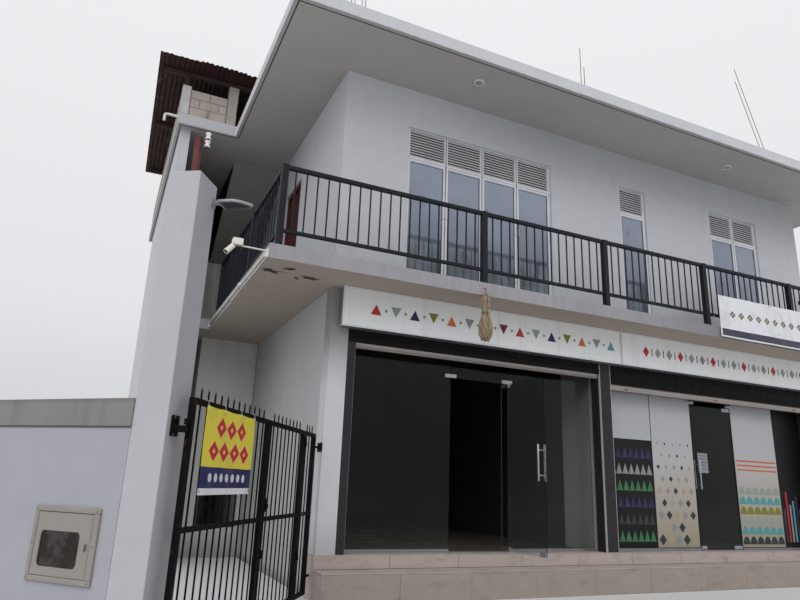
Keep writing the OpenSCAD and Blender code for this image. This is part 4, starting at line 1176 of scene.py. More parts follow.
# notice on the second shop's door, riding with the leaf
s = Shape()
s.bevel = 0.0
s.plate([(6.205, 1.13), (6.420, 1.13), (6.420, 1.43), (6.205, 1.43)], 0.2735, 0.2722, 0)
for k in range(5):
    s.plate([(6.225, 1.385 - k * 0.05), (6.400 - 0.03 * (k % 2), 1.385 - k * 0.05), (6.400 - 0.03 * (k % 2), 1.392 - k * 0.05), (6.225, 1.392 - k * 0.05)], 0.2735, 0.2716, 1)
make("door_notice", s, [vinyl("notice_paper", rgb(138, 142, 148), 0.1), INKS["charcoal"]], body="shop2_door", weighted=False)

# clamps where the glass over each door meets the panes beside it
s = Shape()
s.bevel = 0.0025
for x0, x1, z in ((6.030, 6.205, 2.181), (6.930, 7.080, 2.181), (1.715, 1.880, 2.161), (2.600, 2.760, 2.161)):
    for y0, y1 in ((0.2635, 0.2738), (0.2862, 0.2965)):
        s.box(x0, x1, y0, y1, z, z + 0.046)
make("glass_clamps", s, [mat_trim], weighted=False)

# ------------------------------------------------------------------ railings
front_posts = [-0.844, 1.793, 3.778, 5.721, 7.684, 8.784]
RY, RX = -0.543, -0.844


def rail_run(s, to, length, n):
    """A bay along local x from 0 to length; to(x, y, z) puts it in place."""

    def bar(x0, x1, y0, y1, z0, z1, mat=0):
        c = [to(x, y, z) for x, y, z in ((x0, y0, z0), (x1, y0, z0), (x1, y1, z0), (x0, y1, z0), (x0, y0, z1), (x1, y0, z1), (x1, y1, z1), (x0, y1, z1))]
        s.add(c, [(0, 3, 2, 1), (4, 5, 6, 7), (0, 1, 5, 4), (1, 2, 6, 5), (2, 3, 7, 6), (3, 0, 4, 7)], mat)

    s.bevel = 0.0045
    bar(0, length, -0.025, 0.025, 0.950, 1.000)
    s.bevel = 0.003
    bar(0, length, -0.020, 0.020, 0.186, 0.226)
    s.bevel = 0.0016
    for i in range(1, n + 1):
        x = i * length / (n + 1)
        bar(x - 0.008, x + 0.008, -0.008, 0.008, 0.220, 0.956)


def rail_post(s, x, y):
    s.bevel = 0.004
    s.box(x - 0.0375, x + 0.0375, y - 0.0375, y + 0.0375, FLOOR2 + 0.006, FLOOR2 + 0.990)
    s.bevel = 0.002
    s.box(x - 0.0385, x + 0.0385, y - 0.0385, y + 0.0385, FLOOR2 + 0.990, FLOOR2 + 0.9995)
    s.box(x - 0.060, x + 0.060, y - 0.060, y + 0.060, FLOOR2, FLOOR2 + 0.008)
    s.bevel = 0.0
    for a in (-1, 1):
        for b in (-1, 1):
            s.lathe([(0.0, 0.0), (0.0075, 0.0), (0.0075, 0.005), (0.0045, 0.0065), (0.0045, 0.012), (0.0, 0.0125)], (x + a * 0.048, y + b * 0.048, FLOOR2 + 0.008), sides=6, mat=1)


s = Shape()
for i in range(5):
    a, b = front_posts[i], front_posts[i + 1]
    rail_run(s, lambda x, y, z, a=a: (a + x, RY + y, FLOOR2 + z), b - a, 19 if i == 0 else 7 if i == 4 else 14)
for x in front_posts:
    rail_post(s, x, RY)
make("front_railing_bars", s, [mat_rail, mat_screw], replaces="front_railing")
s = Shape()
side_posts = [RY + 1.510, RY + 3.020, 3.350]
for i in range(3):
    a = RY + 0.0375 if i == 0 else side_posts[i - 1]
    rail_run(s, lambda x, y, z, a=a: (RX - y, a + x, FLOOR2 + z), side_posts[i] - a, 5 if i == 2 else 10)
for y in side_posts:
    rail_post(s, RX, y)
make("side_railing_bars", s, [mat_rail, mat_screw], replaces="side_railing")
s = Shape()
s.bevel = 0.006
s.box(-1.700, -0.882, 3.315, 3.385, FLOOR2, FLOOR2 + 0.950, 0)
s.bevel = 0.0045
s.box(-1.700, -0.882, 3.325, 3.375, FLOOR2 + 0.9505, FLOOR2 + 1.000, 1)
s.bevel = 0.0
for x in (-1.55, -1.15):
    s.lathe([(0.0, 0.0), (0.0075, 0.0), (0.0065, 0.003), (0.0, 0.004)], (x, 3.325, FLOOR2 + 0.975), axis=(0, -1, 0), sides=10, mat=2)
make("bay_parapet_wall", s, [mat_bay_parapet, mat_rail, mat_screw], replaces="bay_parapet")
s = Shape()
rail_run(s, lambda x, y, z: (8.784 - y, RY + 0.0375 + x, FLOOR2 + z), -RY - 0.0375, 3)
s.bevel = 0.002
s.box(8.744, 8.824, -0.010, 0.0, FLOOR2 + 0.935, FLOOR2 + 0.9995)
s.box(8.750, 8.818, -0.008, 0.0, FLOOR2 + 0.175, FLOOR2 + 0.240)
make("end_railing_bars", s, [mat_rail, mat_screw], replaces="end_railing")

# ------------------------------------------------------------------ cloth banners


def banner_material(name, paint):
    m = Mat(name, rough=0.6, spec=0.3)
    uvn = m.new("ShaderNodeUVMap")
    uvn.uv_map = "UVMap"
    sp = m.new("ShaderNodeSeparateXYZ")
    m.link(uvn.outputs[0], sp.inputs[0])
    u, v = sp.outputs[0], sp.outputs[1]
    c = paint(m, u, v)
    c = m.mix(m.mul(m.band(m.noise(4.0, 5, 0.6), 0.45, 0.75), 0.22), c, rgb(120, 116, 112))
    c = m.mix(m.mul(m.band(m.noise(1.2, 4, 0.6, stretch=(10, 10, 0.8)), 0.5, 0.75), 0.18), c, rgb(96, 92, 90))
    m.color(c)
    m.roughness(m.ramp(m.noise(9, 3), [(0.3, 0.5), (0.75, 0.75)]))
    w = m.new("ShaderNodeTexWave")
    w.inputs["Scale"].default_value = 260.0
    m.link(m.obj, w.inputs["Vector"])
    m.bump(m.math("ADD", m.mul(w.outputs[1], 0.2), m.noise(18, 4)), 0.0012, 0.5)
    return m.m


def rep(m, x, n):
    """x repeated n times, as the distance from each cell's middle, 0 to 0.5."""
    return m.math("ABSOLUTE", m.math("SUBTRACT", m.math("FRACT", m.mul(x, n)), 0.5))


def box_uv(m, u, v, u0, u1, v0, v1):
    return m.mul(m.math("GREATER_THAN", u, u0), m.math("LESS_THAN", u, u1), m.math("GREATER_THAN", v, v0), m.math("LESS_THAN", v, v1))


def paint_gate(m, u, v):
    yellow = m.mix(m.noise(2.0, 3), rgb(206, 190, 52), rgb(220, 206, 78))
    # three red lozenges over four, each with an open core
    d1 = m.math("ADD", rep(m, m.math("ADD", u, 0.0), 5.0), m.mul(m.math("ABSOLUTE", m.math("SUBTRACT", v, 0.78)), 3.9))
    d2 = m.math("ADD", rep(m, m.math("ADD", u, 0.1), 5.0), m.mul(m.math("ABSOLUTE", m.math("SUBTRACT", v, 0.50)), 3.9))
    wide = m.mul(m.math("GREATER_THAN", u, 0.10), m.math("LESS_THAN", u, 0.90))
    narrow = m.mul(m.math("GREATER_THAN", u, 0.20), m.math("LESS_THAN", u, 0.80))
    for d, lim in ((d1, narrow), (d2, wide)):
        yellow = m.mix(m.mul(m.math("LESS_THAN", d, 0.49), lim), yellow, rgb(196, 122, 128))
        yellow = m.mix(m.mul(m.math("LESS_THAN", d, 0.46), lim), yellow, rgb(186, 34, 54))
        yellow = m.mix(m.mul(m.math("LESS_THAN", d, 0.13), lim), yellow, rgb(216, 196, 84))
    navy = m.mix(m.noise(3, 3), rgb(34, 34, 78), rgb(44, 44, 92))
    dots = m.math("ADD", m.math("POWER", rep(m, u, 9.0), 2.0), m.math("POWER", m.mul(m.math("SUBTRACT", v, 0.195), 5.7), 2.0))
    navy = m.mix(m.mul(m.math("LESS_THAN", dots, 0.085), box_uv(m, u, v, 0.112, 0.888, 0.0, 1.0)), navy, rgb(200, 200, 206))
    c = m.mix(m.math("LESS_THAN", v, 0.315), yellow, navy)
    return m.mix(m.math("LESS_THAN", v, 0.075), c, rgb(214, 212, 214))


def paint_balcony(m, u, v):
    c = m.mix(m.noise(1.0, 3), rgb(212, 213, 218), rgb(224, 225, 229))
    # one even row of lozenges over a plain dark foot
    d = m.math("ADD", rep(m, u, 12.0), m.mul(m.math("ABSOLUTE", m.math("SUBTRACT", v, 0.57)), 3.65))
    lim = m.mul(m.math("GREATER_THAN", u, 0.083), m.math("LESS_THAN", u, 0.917))
    c = m.mix(m.mul(m.math("LESS_THAN", d, 0.34), lim), c, rgb(104, 106, 110))
    c = m.mix(m.mul(m.math("LESS_THAN", d, 0.15), lim), c, rgb(184, 168, 92))
    band_ = m.mix(m.noise(4, 3), rgb(52, 52, 68), rgb(74, 74, 90))
    return m.mix(box_uv(m, u, v, 0.012, 0.99, 0.035, 0.20), c, band_)


def cloth(name, point, nu, nv, thick, mat, body, replaces):
    """A hung sheet over point(u, v), with a UV map that follows the cloth."""
    s = Shape(Matrix.Identity(4))
    s.sheet(point, nu, nv, thick, 0)
    mesh = bpy.data.meshes.new(name)
    mesh.from_pydata([tuple(p) for p in s.v], [], s.f)
    mesh.materials.append(mat)
    uvl = mesh.uv_layers.new(name="UVMap")
    w, q = nu + 1, (nu + 1) * (nv + 1)
    for loop in mesh.loops:
        k = loop.vertex_index % q
        uvl.data[loop.index].uv = ((k % w) / nu, (k // w) / nv)
    bm = bmesh.new()
    bm.from_mesh(mesh)
    bmesh.ops.recalc_face_normals(bm, faces=bm.faces)
    bm.to_mesh(mesh)
    bm.free()
    mesh.polygons.foreach_set("use_smooth", [True] * len(mesh.polygons))
    mesh.set_sharp_from_angle(angle=math.radians(50))
    obj = bpy.data.objects.new(name, mesh)
    scene.collection.objects.link(obj)
    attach(obj, body)
    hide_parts(replaces)
    return obj


def gate_cloth(u, v):
    s_ = 2.922 - u * 0.960
    sag = 0.006 * math.sin(u * 3 * math.pi) ** 2 * v
    t_ = 0.0245 + (0.0028 * math.sin(u * 9.5 + 1.2 * v) + 0.0022 * math.sin(v * 7.0 + u * 4.0)) * (1.1 - 0.5 * v)
    return GATE @ Vector((s_, t_, 0.657 + v * 0.603 - sag))


def balcony_cloth(u, v):
    x = 5.802 + u * 2.296 + 0.128 * v
    y = -0.6934 + 0.0954 * v
    z = 3.0625 + v * 0.6840
    nrm = 0.0035 * math.sin(u * 15.0 + 1.0 + 1.5 * v) * (1 - 0.7 * v) + 0.0012 * math.sin(u * 41.0 + 3 * v)
    z -= 0.003 * math.sin(u * 4 * math.pi) ** 2 * v
    return BUILD @ Vector((x, y - nrm, z))


s = Shape(GATE)
for sx in (1.985, 2.28, 2.60, 2.90):
    s.lathe([(0.0048, -0.0016), (0.010, -0.0014), (0.0105, 0.0), (0.010, 0.0014), (0.0048, 0.0016)], (sx, 0.0255, 1.236), axis=(0, 1, 0), sides=16, mat=0)
    s.tube([(sx, 0.0275, 1.236), (sx + 0.002, 0.0265, 1.262), (sx, 0.0215, 1.292), (sx, 0.0, 1.2945), (sx, -0.0215, 1.292), (sx, -0.0235, 1.262), (sx, -0.0215, 1.243)], 0.0018, 6, 1)
for sx in (1.985, 2.90):
    s.lathe([(0.0048, -0.0016), (0.010, -0.0014), (0.0105, 0.0), (0.010, 0.0014), (0.0048, 0.0016)], (sx, 0.0255, 0.682), axis=(0, 1, 0), sides=16, mat=0)
gate_ties = make("gate_banner_ties", s, [mat_steel, INKS["white"]], body="wide_leaf", weighted=False)
cloth("gate_banner_cloth", gate_cloth, 96, 56, 0.0011, banner_material("banner_yellow", paint_gate), "wide_leaf", "gate_banner")

s = Shape()
for k in range(5):
    x = 5.96 + k * 2.24 / 4
    s.lathe([(0.005, -0.0016), (0.011, -0.0014), (0.0115, 0.0), (0.011, 0.0014), (0.005, 0.0016)], (x, -0.6015, 3.726), axis=(0, 1, 0), sides=16, mat=0)
    s.tube([(x, -0.6035, 3.726), (x, -0.600, 3.742), (x, -0.580, 3.760), (x, -0.556, 3.757), (x, -0.534, 3.750), (x, -0.531, 3.742)], 0.0018, 6, 1)
for x in (5.838, 8.072):
    s.lathe([(0.005, -0.0016), (0.011, -0.0014), (0.0115, 0.0), (0.011, 0.0014), (0.005, 0.0016)], (x, -0.6905, 3.092), axis=(0, 1, 0), sides=16, mat=0)
    s.tube([(x, -0.688, 3.092), (x, -0.677, 3.150), (x, -0.668, 3.228), (x, -0.620, 3.320), (x, -0.572, 3.405), (x, -0.556, 3.425)], 0.0018, 6, 1)
bal_ties = make("balcony_banner_ties", s, [mat_steel, INKS["white"]], weighted=False)
cloth("balcony_banner_cloth", balcony_cloth, 140, 40, 0.0011, banner_material("banner_white", paint_balcony), "building", "balcony_banner")

# ------------------------------------------------------------------ roof pieces
rnd = random.Random(5)
s = Shape()
s.bevel = 0.006
s.box(-1.920, -1.787, 2.500, 2.650, ROOF, 6.785, 1)
s.bevel = 0.0


def blocks(s, along, a0, a1, across0, across1, z0, z1, length, height, mat=0, mortar=2):
    """Courses of blocks with recessed joints; along is 'x' or 'y'."""

    def bx(a, b, c, d, e, f, mt):
        if along == "x":
            s.box(a, b, c, d, e, f, mt)
        else:
            s.box(c, d, a, b, e, f, mt)

    s.bevel = 0.0
    bx(a0, a1, across0 + 0.007, across1 - 0.007, z0, z1 - 0.004, mortar)
    rows = max(1, round((z1 - z0) / height))
    hh = (z1 - z0) / rows
    for r in range(rows):
        x = a0 - (length / 2 if r % 2 else 0)
        while x < a1 - 0.01:
            xa, xb = max(x, a0), min(x + length, a1)
            if xb - xa > 0.03:
                j = 0.003 * rnd.random()
                s.bevel = 0.004
                bx(xa + 0.006, xb - 0.006, across0 + j, across1 - j, z0 + r * hh + 0.005, z0 + (r + 1) * hh - 0.005, mat)
            x += length


blocks(s, "x", -1.785, -1.205, 2.515, 2.635, ROOF, 6.740, 0.30, 0.152)
blocks(s, "y", 2.650, 8.000, -1.920, -1.800, ROOF, 6.740, 0.40, 0.152)
# rough slim stub: a cast post with a wavy skin
zs = [ROOF + (6.970 - ROOF) * i / 14 for i in range(15)]
verts, faces = [], []
for i, z in enumerate(zs):
    for k, (px, py) in enumerate(((0, 0), (0.5, 0), (1, 0), (1, 0.5), (1, 1), (0.5, 1), (0, 1), (0, 0.5))):
        j = 0.007
        x = -1.205 + 0.158 * px + (j * rnd.random() if px == 0 else -j * rnd.random() if px == 1 else 0)
        y = 2.500 + 0.150 * py + (j * rnd.random() if py == 0 else -j * rnd.random() if py == 1 else 0)
        verts.append((x, y, z))
for i in range(14):
    for k in range(8):
        faces.append((i * 8 + k, i * 8 + (k + 1) % 8, (i + 1) * 8 + (k + 1) % 8, (i + 1) * 8 + k))
faces += [tuple(range(7, -1, -1)), tuple(14 * 8 + k for k in range(8))]
s.bevel = 0.0
s.add(verts, faces, 3)
make("parapet_blocks", s, [mat_block, mat_stub, mat_mortar, mat_stub_rough], replaces="roof_parapet", sharp=30)

# corrugated canopy
s = Shape(BUILD @ Matrix.Translation((-2.330, 2.180, 0)) @ Matrix.Rotation(math.radians(-1.1), 4, "Z") @ Matrix.Translation((0, -2.180, 0)))


def can_z(y):
    return 7.060 - 0.160 * (y - 2.180) / 4.220


pitch = 0.076
for k in range(4):
    xa = 0.004 + k * 0.620
    xb = min(xa + 0.705, 2.518)
    lift = 0.004 + 0.0035 * (k % 2)
    n = int(round((xb - xa) / pitch * 8))
    front = (0.012, 0.0, 0.020, 0.006)[k]

    def sheet_pt(u, v, xa=xa, xb=xb, lift=lift, front=front, k=k):
        x = xa + (xb - xa) * u
        ragged = 0.010 * math.sin(x * 31.0 + k) + 0.008 * math.sin(x * 83.0 + 2 * k)
        y = 2.196 + front + max(0.0, ragged) + (6.396 - 2.216 - front) * v
        z = can_z(y) + 0.010 + lift + 0.0075 * math.sin(2 * math.pi * x / pitch) - 0.004 * (1 - v) ** 8 * math.sin(x * 5 + k)
        return (x, y, z)

    s.sheet(sheet_pt, n, 26, 0.0012, 0)
for y in (2.575, 4.300, 6.200):
    s.bevel = 0.004
    s.box(0.080, 2.460, y - 0.033, y + 0.033, can_z(y) - 0.064, can_z(y) + 0.0015, 1)
    s.bevel = 0.0
    for i in range(16):
        s.lathe([(0.0, 0.0), (0.011, 0.0), (0.009, 0.004), (0.0, 0.006)], (0.019 + (1 + 2 * i) * pitch, y, can_z(y) + 0.0215), sides=8, mat=2)
s.frame = BUILD
s.bevel = 0.004
for px, py, pz in ((-1.860, 2.566, 6.785), (0.060, 2.529, ROOF), (-1.860, 6.191, 6.740), (0.060, 6.154, ROOF)):
    s.bevel = 0.004
    s.box(px - 0.025, px + 0.025, py - 0.025, py + 0.025, pz, can_z(py) - 0.060, 1)
    s.bevel = 0.0015
    s.box(px - 0.045, px + 0.045, py - 0.040, py + 0.040, pz, pz + 0.006, 1)
make("canopy_sheets", s, [mat_rusty, mat_batten, mat_screw], replaces="roof_canopy", sharp=50)

# starter bars with rolled ribs
s = Shape()


def rebar(a, b, sides=8):
    a, b = Vector(a), Vector(b)
    n = max(8, int((b - a).length / 0.05))
    s.tube([a + (b - a) * (i / n) for i in range(n + 1)], 0.0052, sides, 0)
    m = max(8, int((b - a).length / 0.012))
    # two long ribs and short cross ribs
    dirn = (b - a).normalized()
    ref = Vector((1, 0, 0)) if abs(dirn.x) < 0.9 else Vector((0, 1, 0))
    u = dirn.cross(ref).normalized()
    for sgn in (-1, 1):
        s.tube([a + u * 0.0048 * sgn, b + u * 0.0048 * sgn], 0.0011, 4, 0)
    w = dirn.cross(u)
    for i in range(m):
        c = a + (b - a) * ((i + 0.5) / m)
        sg = 1 if i % 2 else -1
        s.tube([c + w * 0.0050 * sg - u * 0.003, c + w * 0.0054 * sg + dirn * 0.001, c + w * 0.0050 * sg + u * 0.003], 0.0009, 4, 0)


for x, y, h in ((0.035, 0.040, 1.500), (0.195, 0.040, 1.620), (0.035, 0.190, 1.350), (0.195, 0.190, 1.560), (4.040, 0.060, 1.640), (4.110, 0.060, 1.300)):
    rebar((x, y, ROOF), (x, y, ROOF + h))
for x, y, h in ((8.800, 0.060, 2.540), (8.840, 0.150, 2.350)):
    rebar((x, y, ROOF), (x - (h - 0.004) * math.tan(math.radians(20.2)), y, ROOF + h - 0.008))
make("rebar_starters", s, [mat_bar], replaces="starter_bars", sharp=50)

# rain spout
s = Shape()
s.tube([(-1.920, 2.545, 6.220), (-2.070, 2.545, 6.220), (-2.095, 2.545, 6.217), (-2.112, 2.545, 6.208), (-2.119, 2.545, 6.190), (-2.120, 2.545, 6.170), (-2.120, 2.545, 6.104)], 0.0205, 20, 0)
s.lathe([(0.013, 0.0), (0.0210, 0.0), (0.0210, 0.030), (0.0, 0.030)], (-2.120, 2.545, 6.100), sides=20, mat=0)
# a dark disc inside the spout's mouth: painted shade of the pipe's bore
s.lathe([(0.0, 0.004), (0.0165, 0.004), (0.0165, -0.001), (0.0, -0.001)], (-2.120, 2.545, 6.1015), sides=16, mat=1)
s.lathe([(0.0, 0.0), (0.030, 0.0), (0.028, 0.006), (0.0, 0.006)], (-1.9205, 2.545, 6.220), axis=(-1, 0, 0), sides=20, mat=0)
make("rain_spout", s, [mat_pvc, mat_shadow_fill], replaces="parapet_spout", sharp=50)

# ------------------------------------------------------------------ small fixtures
s = Shape()
s.tube([(-0.960, -0.620, 3.130), (-1.05, -0.620, 3.1305), (-1.15, -0.6200, 3.1325), (-1.24, -0.620, 3.134)], 0.0088, 14, 0)
s.lathe([(0.0, 0.0), (0.030, 0.0), (0.030, 0.006), (0.014, 0.014), (0.0, 0.014)], (-0.960, -0.620, 3.130), axis=(-1, 0, 0), sides=20, mat=0)
s.bevel = 0.006
s.box(-1.344, -1.236, -0.664, -0.576, 3.126, 3.204, 0)
s.bevel = 0.002
s.box(-1.340, -1.240, -0.660, -0.580, 3.1125, 3.124, 1)
s.bevel = 0.0
a = Vector((-0.611, -0.199, -0.766)).normalized()
c = Vector((-1.325, -0.628, 3.128))
s.lathe([(0.0, 0.0), (0.020, 0.0), (0.0275, 0.006), (0.0290, 0.030), (0.0290, 0.108), (0.0275, 0.114), (0.0, 0.114)], c, axis=a, sides=28, mat=0)
s.lathe([(0.0, 0.1130), (0.0308, 0.1130), (0.0310, 0.118), (0.0310, 0.1298), (0.0285, 0.1300), (0.0255, 0.1240), (0.0, 0.1240)], c, axis=a, sides=28, mat=0)
s.lathe([(0.0, 0.1235), (0.0250, 0.1235), (0.0240, 0.1270), (0.0, 0.1285)], c, axis=a, sides=24, mat=1)
s.lathe([(0.0, 0.127), (0.0075, 0.127), (0.0065, 0.1292), (0.0, 0.1298)], c, axis=a, sides=16, mat=2)
s.tube([c + a * 0.012, c + a * 0.0 + Vector((0.008, 0.006, 0.012)), (-1.300, -0.622, 3.140)], 0.0085, 12, 0)
# the lens takes the window panes' painted reflection
make("camera_housing", s, [mat_camera, mat_camera_dark, mat_window_painted_reflection], replaces="security_camera", sharp=45)

# straw charm: strands drawn in at the neck, tied and hung from a rod
s = Shape()
rnd = random.Random(11)
prof = [(0.004, 2.462), (0.050, 2.484), (0.082, 2.545), (0.087, 2.620), (0.079, 2.680), (0.062, 2.740), (0.050, 2.800), (0.047, 2.880), (0.051, 2.960),
        (0.046, 3.010), (0.030, 3.044), (0.010, 3.072)]
s.lathe([(0.0, 2.4625)] + [(max(0.004, r - 0.012), z) for r, z in prof[1:]] + [(0.0, 3.074)], (1.720, -0.703, 0), sides=20, mat=0)
for k in range(46):
    a0 = 2 * math.pi * k / 46 + 0.1 * rnd.random()
    tw = 0.9 * (rnd.random() - 0.5)
    pts = []
    for j, (r, z) in enumerate(prof):
        aa = a0 + tw * j / len(prof) + 0.12 * (rnd.random() - 0.5)
        rr = max(0.003, r - 0.003 + 0.008 * (rnd.random() - 0.5))
        pts.append((1.720 + rr * math.cos(aa), -0.703 + rr * math.sin(aa), z))
    s.tube(pts, [0.0022] + [0.0038] * (len(pts) - 2) + [0.002], 6, 0 if k % 3 else 1)


def prof_r(z):
    for (r0, z0), (r1, z1) in zip(prof, prof[1:]):
        if z0 <= z <= z1:
            return r0 + (r1 - r0) * (z - z0) / (z1 - z0)
    return 0.004


# a slack net round it, in two directions of strands
for sgn in (1, -1):
    for k in range(9):
        pts = []
        for i in range(25):
            z = 2.490 + 0.52 * i / 24
            aa = 2 * math.pi * k / 9 + sgn * 2.4 * i / 24
            rr = prof_r(z) + 0.0015
            pts.append((1.720 + rr * math.cos(aa), -0.703 + rr * math.sin(aa), z))
        s.tube(pts, 0.0013, 5, 3)
# loose ends at the foot
for k in range(14):
    aa = rnd.random() * 6.28
    r0 = 0.030 + 0.03 * rnd.random()
    z0 = 2.520 + 0.04 * rnd.random()
    s.tube([(1.720 + r0 * math.cos(aa), -0.703 + r0 * math.sin(aa), z0), (1.720 + (r0 + 0.012) * math.cos(aa + 0.1), -0.703 + (r0 + 0.012) * math.sin(aa + 0.1), z0 - 0.030),
            (1.720 + (r0 + 0.006) * math.cos(aa + 0.3), -0.703 + (r0 + 0.006) * math.sin(aa + 0.3), 2.4615)], [0.0022, 0.0018, 0.0012], 5, 0)
for z in (2.800, 2.809, 2.818, 3.020):
    r = prof_r(z) + 0.002
    s.tube([(1.720 + r * math.cos(t * math.pi / 12), -0.703 + r * math.sin(t * math.pi / 12), z + 0.002 * math.sin(t)) for t in range(25)], 0.0022, 6, 1)
s.tube([(1.720, -0.703, 3.04), (1.7205, -0.7032, 3.07), (1.7195, -0.7028, 3.10), (1.720, -0.703, 3.128)], 0.0045, 8, 1)
s.tube([(1.720, -0.706, 3.130), (1.720, -0.690, 3.1305), (1.720, -0.660, 3.130)], 0.0036, 10, 2)
s.tube([(1.720 + 0.006 * math.cos(t * math.pi / 8), -0.7035, 3.127 + 0.006 * math.sin(t * math.pi / 8)) for t in range(17)], 0.0018, 6, 2)
make("straw_charm", s, [mat_straw, timber("straw_tie", rgb(120, 98, 78), rgb(84, 66, 52)), mat_screw, INKS["cream"]], replaces="hanging_charm", sharp=60)

# conduits along the balcony's edge
s = Shape()
s.tube([(-0.976, -0.600, 3.112)] + [(-0.976 + 0.0008 * math.sin(i * 1.7), -0.600 + i * 0.115, 3.112 - 0.0025 * math.sin(i * math.pi / 4) ** 2) for i in range(1, 12)] + [(-0.976, 0.780, 3.112)], 0.0155, 18, 0)
s.tube([(-0.976, 0.780, 3.127)] + [(-0.976 + 0.0008 * math.sin(i * 1.3), 0.780 + i * 0.2, 3.127 - 0.003 * math.sin(i * math.pi / 4) ** 2) for i in range(1, 12)]
       + [(-0.976, 3.170, 3.127), (-0.976, 3.190, 3.123), (-0.976, 3.200, 3.112), (-0.976, 3.200, 3.071)], 0.0155, 18, 0)
s.lathe([(0.0, 0.0), (0.0225, 0.0), (0.0245, 0.004), (0.0245, 0.066), (0.0225, 0.070), (0.0, 0.070)], (-0.985, 0.745, 3.120), axis=(0, 1, 0), sides=22, mat=0)
s.tube([(-0.970, -0.600, 3.066)] + [(-0.970, -0.600 + i * 0.13, 3.066 - 0.0030 * math.sin(i * math.pi / 3) ** 2) for i in range(1, 15)] + [(-0.970, 1.350, 3.066)], 0.0096, 14, 0)
s.bevel = 0.004
s.box(-0.994, -0.960, -0.655, -0.595, 3.052, 3.108, 0)
s.bevel = 0.002
s.box(-0.9975, -0.993, -0.651, -0.599, 3.056, 3.104, 0)
s.bevel = 0.0012
for y in (-0.35, 0.05, 0.45, 1.05, 1.55, 2.05, 2.55, 3.0):
    zc = 3.112 if y < 0.78 else 3.127
    s.bevel = 0.0
    s.tube([(-0.960, y, zc + 0.024), (-0.968, y, zc + 0.020), (-0.9765, y, zc + 0.0170), (-0.988, y, zc + 0.0120), (-0.9932, y, zc), (-0.988, y, zc - 0.0120), (-0.9765, y, zc - 0.0170), (-0.968, y, zc - 0.020), (-0.960, y, zc - 0.024)], 0.0020, 6, 1)
for y in (-0.42, -0.05, 0.35, 0.75, 1.15):
    s.tube([(-0.960, y, 3.082), (-0.9705, y, 3.0775), (-0.980, y, 3.073), (-0.9815, y, 3.066), (-0.980, y, 3.059), (-0.9705, y, 3.0550), (-0.960, y, 3.0525)], 0.0016, 6, 1)
make("conduit_runs", s, [mat_pvc, mat_pvc_dark], replaces="edge_conduits", sharp=45)

# pier lamp: a flat cast head on a bracket
s = Shape(GATE)
head = [(2.925, -0.030), (3.068, -0.030), (3.070, 0.095), (3.040, 0.150), (2.978, 0.212), (2.955, 0.214), (2.930, 0.180), (2.920, 0.110)]
ctr = (2.992, 0.085)


def shrink(k):
    return [(ctr[0] + (a - ctr[0]) * k, ctr[1] + (b - ctr[1]) * k) for a, b in head]


rings = [(shrink(0.86), 2.7365), (shrink(0.98), 2.7390), (shrink(0.995), 2.745), (shrink(0.995), 2.754), (shrink(0.93), 2.7590), (shrink(0.70), 2.7615)]
verts, faces = [], []
nh = len(head)
for pts, z in rings:
    verts += [(a, b, z) for a, b in pts]
for i in range(len(rings) - 1):
    for k in range(nh):
        faces.append((i * nh + k, i * nh + (k + 1) % nh, (i + 1) * nh + (k + 1) % nh, (i + 1) * nh + k))
faces.append(tuple(range(nh - 1, -1, -1)))
faces.append(tuple((len(rings) - 1) * nh + k for k in range(nh)))
s.add(verts, faces, 0)
s.prism(shrink(0.84), lambda a, b, d: (a, b, d), 2.7361, 2.7372, 1)
s.prism(shrink(0.50), lambda a, b, d: (a, b, d), 2.7360, 2.7368, 2)
s.bevel = 0.003
s.box(2.984, 3.020, -0.079, -0.001, 2.7425, 2.7695, 0)
s.box(2.970, 3.034, -0.0850, -0.0790, 2.7200, 2.7920, 0)
make("pier_lamp_head", s, [mat_lamp, mat_lamp_dark, mat_gasket], replaces="pier_lamp", sharp=30)

# service mast on the pier
s = Shape(GATE)
s.bevel = 0.003
s.box(3.088, 3.133, -0.233, -0.188, 2.900, 3.246, 0)
s.box(3.084, 3.137, -0.237, -0.184, 2.900, 2.907, 0)
s.box(3.089, 3.132, -0.232, -0.189, 3.2455, 3.250, 0)
s.bevel = 0.0015
for z in (3.160, 3.225):
    s.box(3.099, 3.122, -0.190, -0.126, z, z + 0.0055, 1)
s.bevel = 0.0
s.tube([(3.110, -0.140, 3.150), (3.110, -0.140, 3.300)], 0.0058, 12, 1)
reel = [(0.0, 0.0), (0.0175, 0.0), (0.0215, 0.003), (0.0215, 0.010), (0.0165, 0.014), (0.0130, 0.020), (0.0130, 0.030), (0.0165, 0.036), (0.0215, 0.040), (0.0215, 0.047), (0.0175, 0.050), (0.0, 0.050)]
for z in (3.170, 3.235):
    s.lathe(reel, (3.110, -0.140, z), sides=24, mat=2)
s.lathe([(0.0, 0.0), (0.011, 0.0), (0.011, 0.006), (0.0, 0.006)], (3.110, -0.140, 3.287), sides=6, mat=1)
make("mast_and_reels", s, [mat_red_oxide, mat_screw, mat_insulator], replaces="service_mast", sharp=45)

# meter box in the boundary wall
s = Shape(WALL)
s.bevel = 0.004
u0, u1, z0, z1 = 0.130, 0.685, 0.100, 0.558
s.box(u0, u1, 0.0, 0.0195, z0, z0 + 0.034, 1)
s.box(u0, u1, 0.0, 0.0195, z1 - 0.034, z1, 1)
s.box(u0, u0 + 0.048, 0.0, 0.0195, z0 + 0.034, z1 - 0.034, 1)
s.box(u1 - 0.030, u1, 0.0, 0.0195, z0 + 0.034, z1 - 0.034, 1)
s.bevel = 0.0
s.box(0.157, 0.658, -0.060, -0.010, 0.127, 0.528, 3)
s.bevel = 0.003


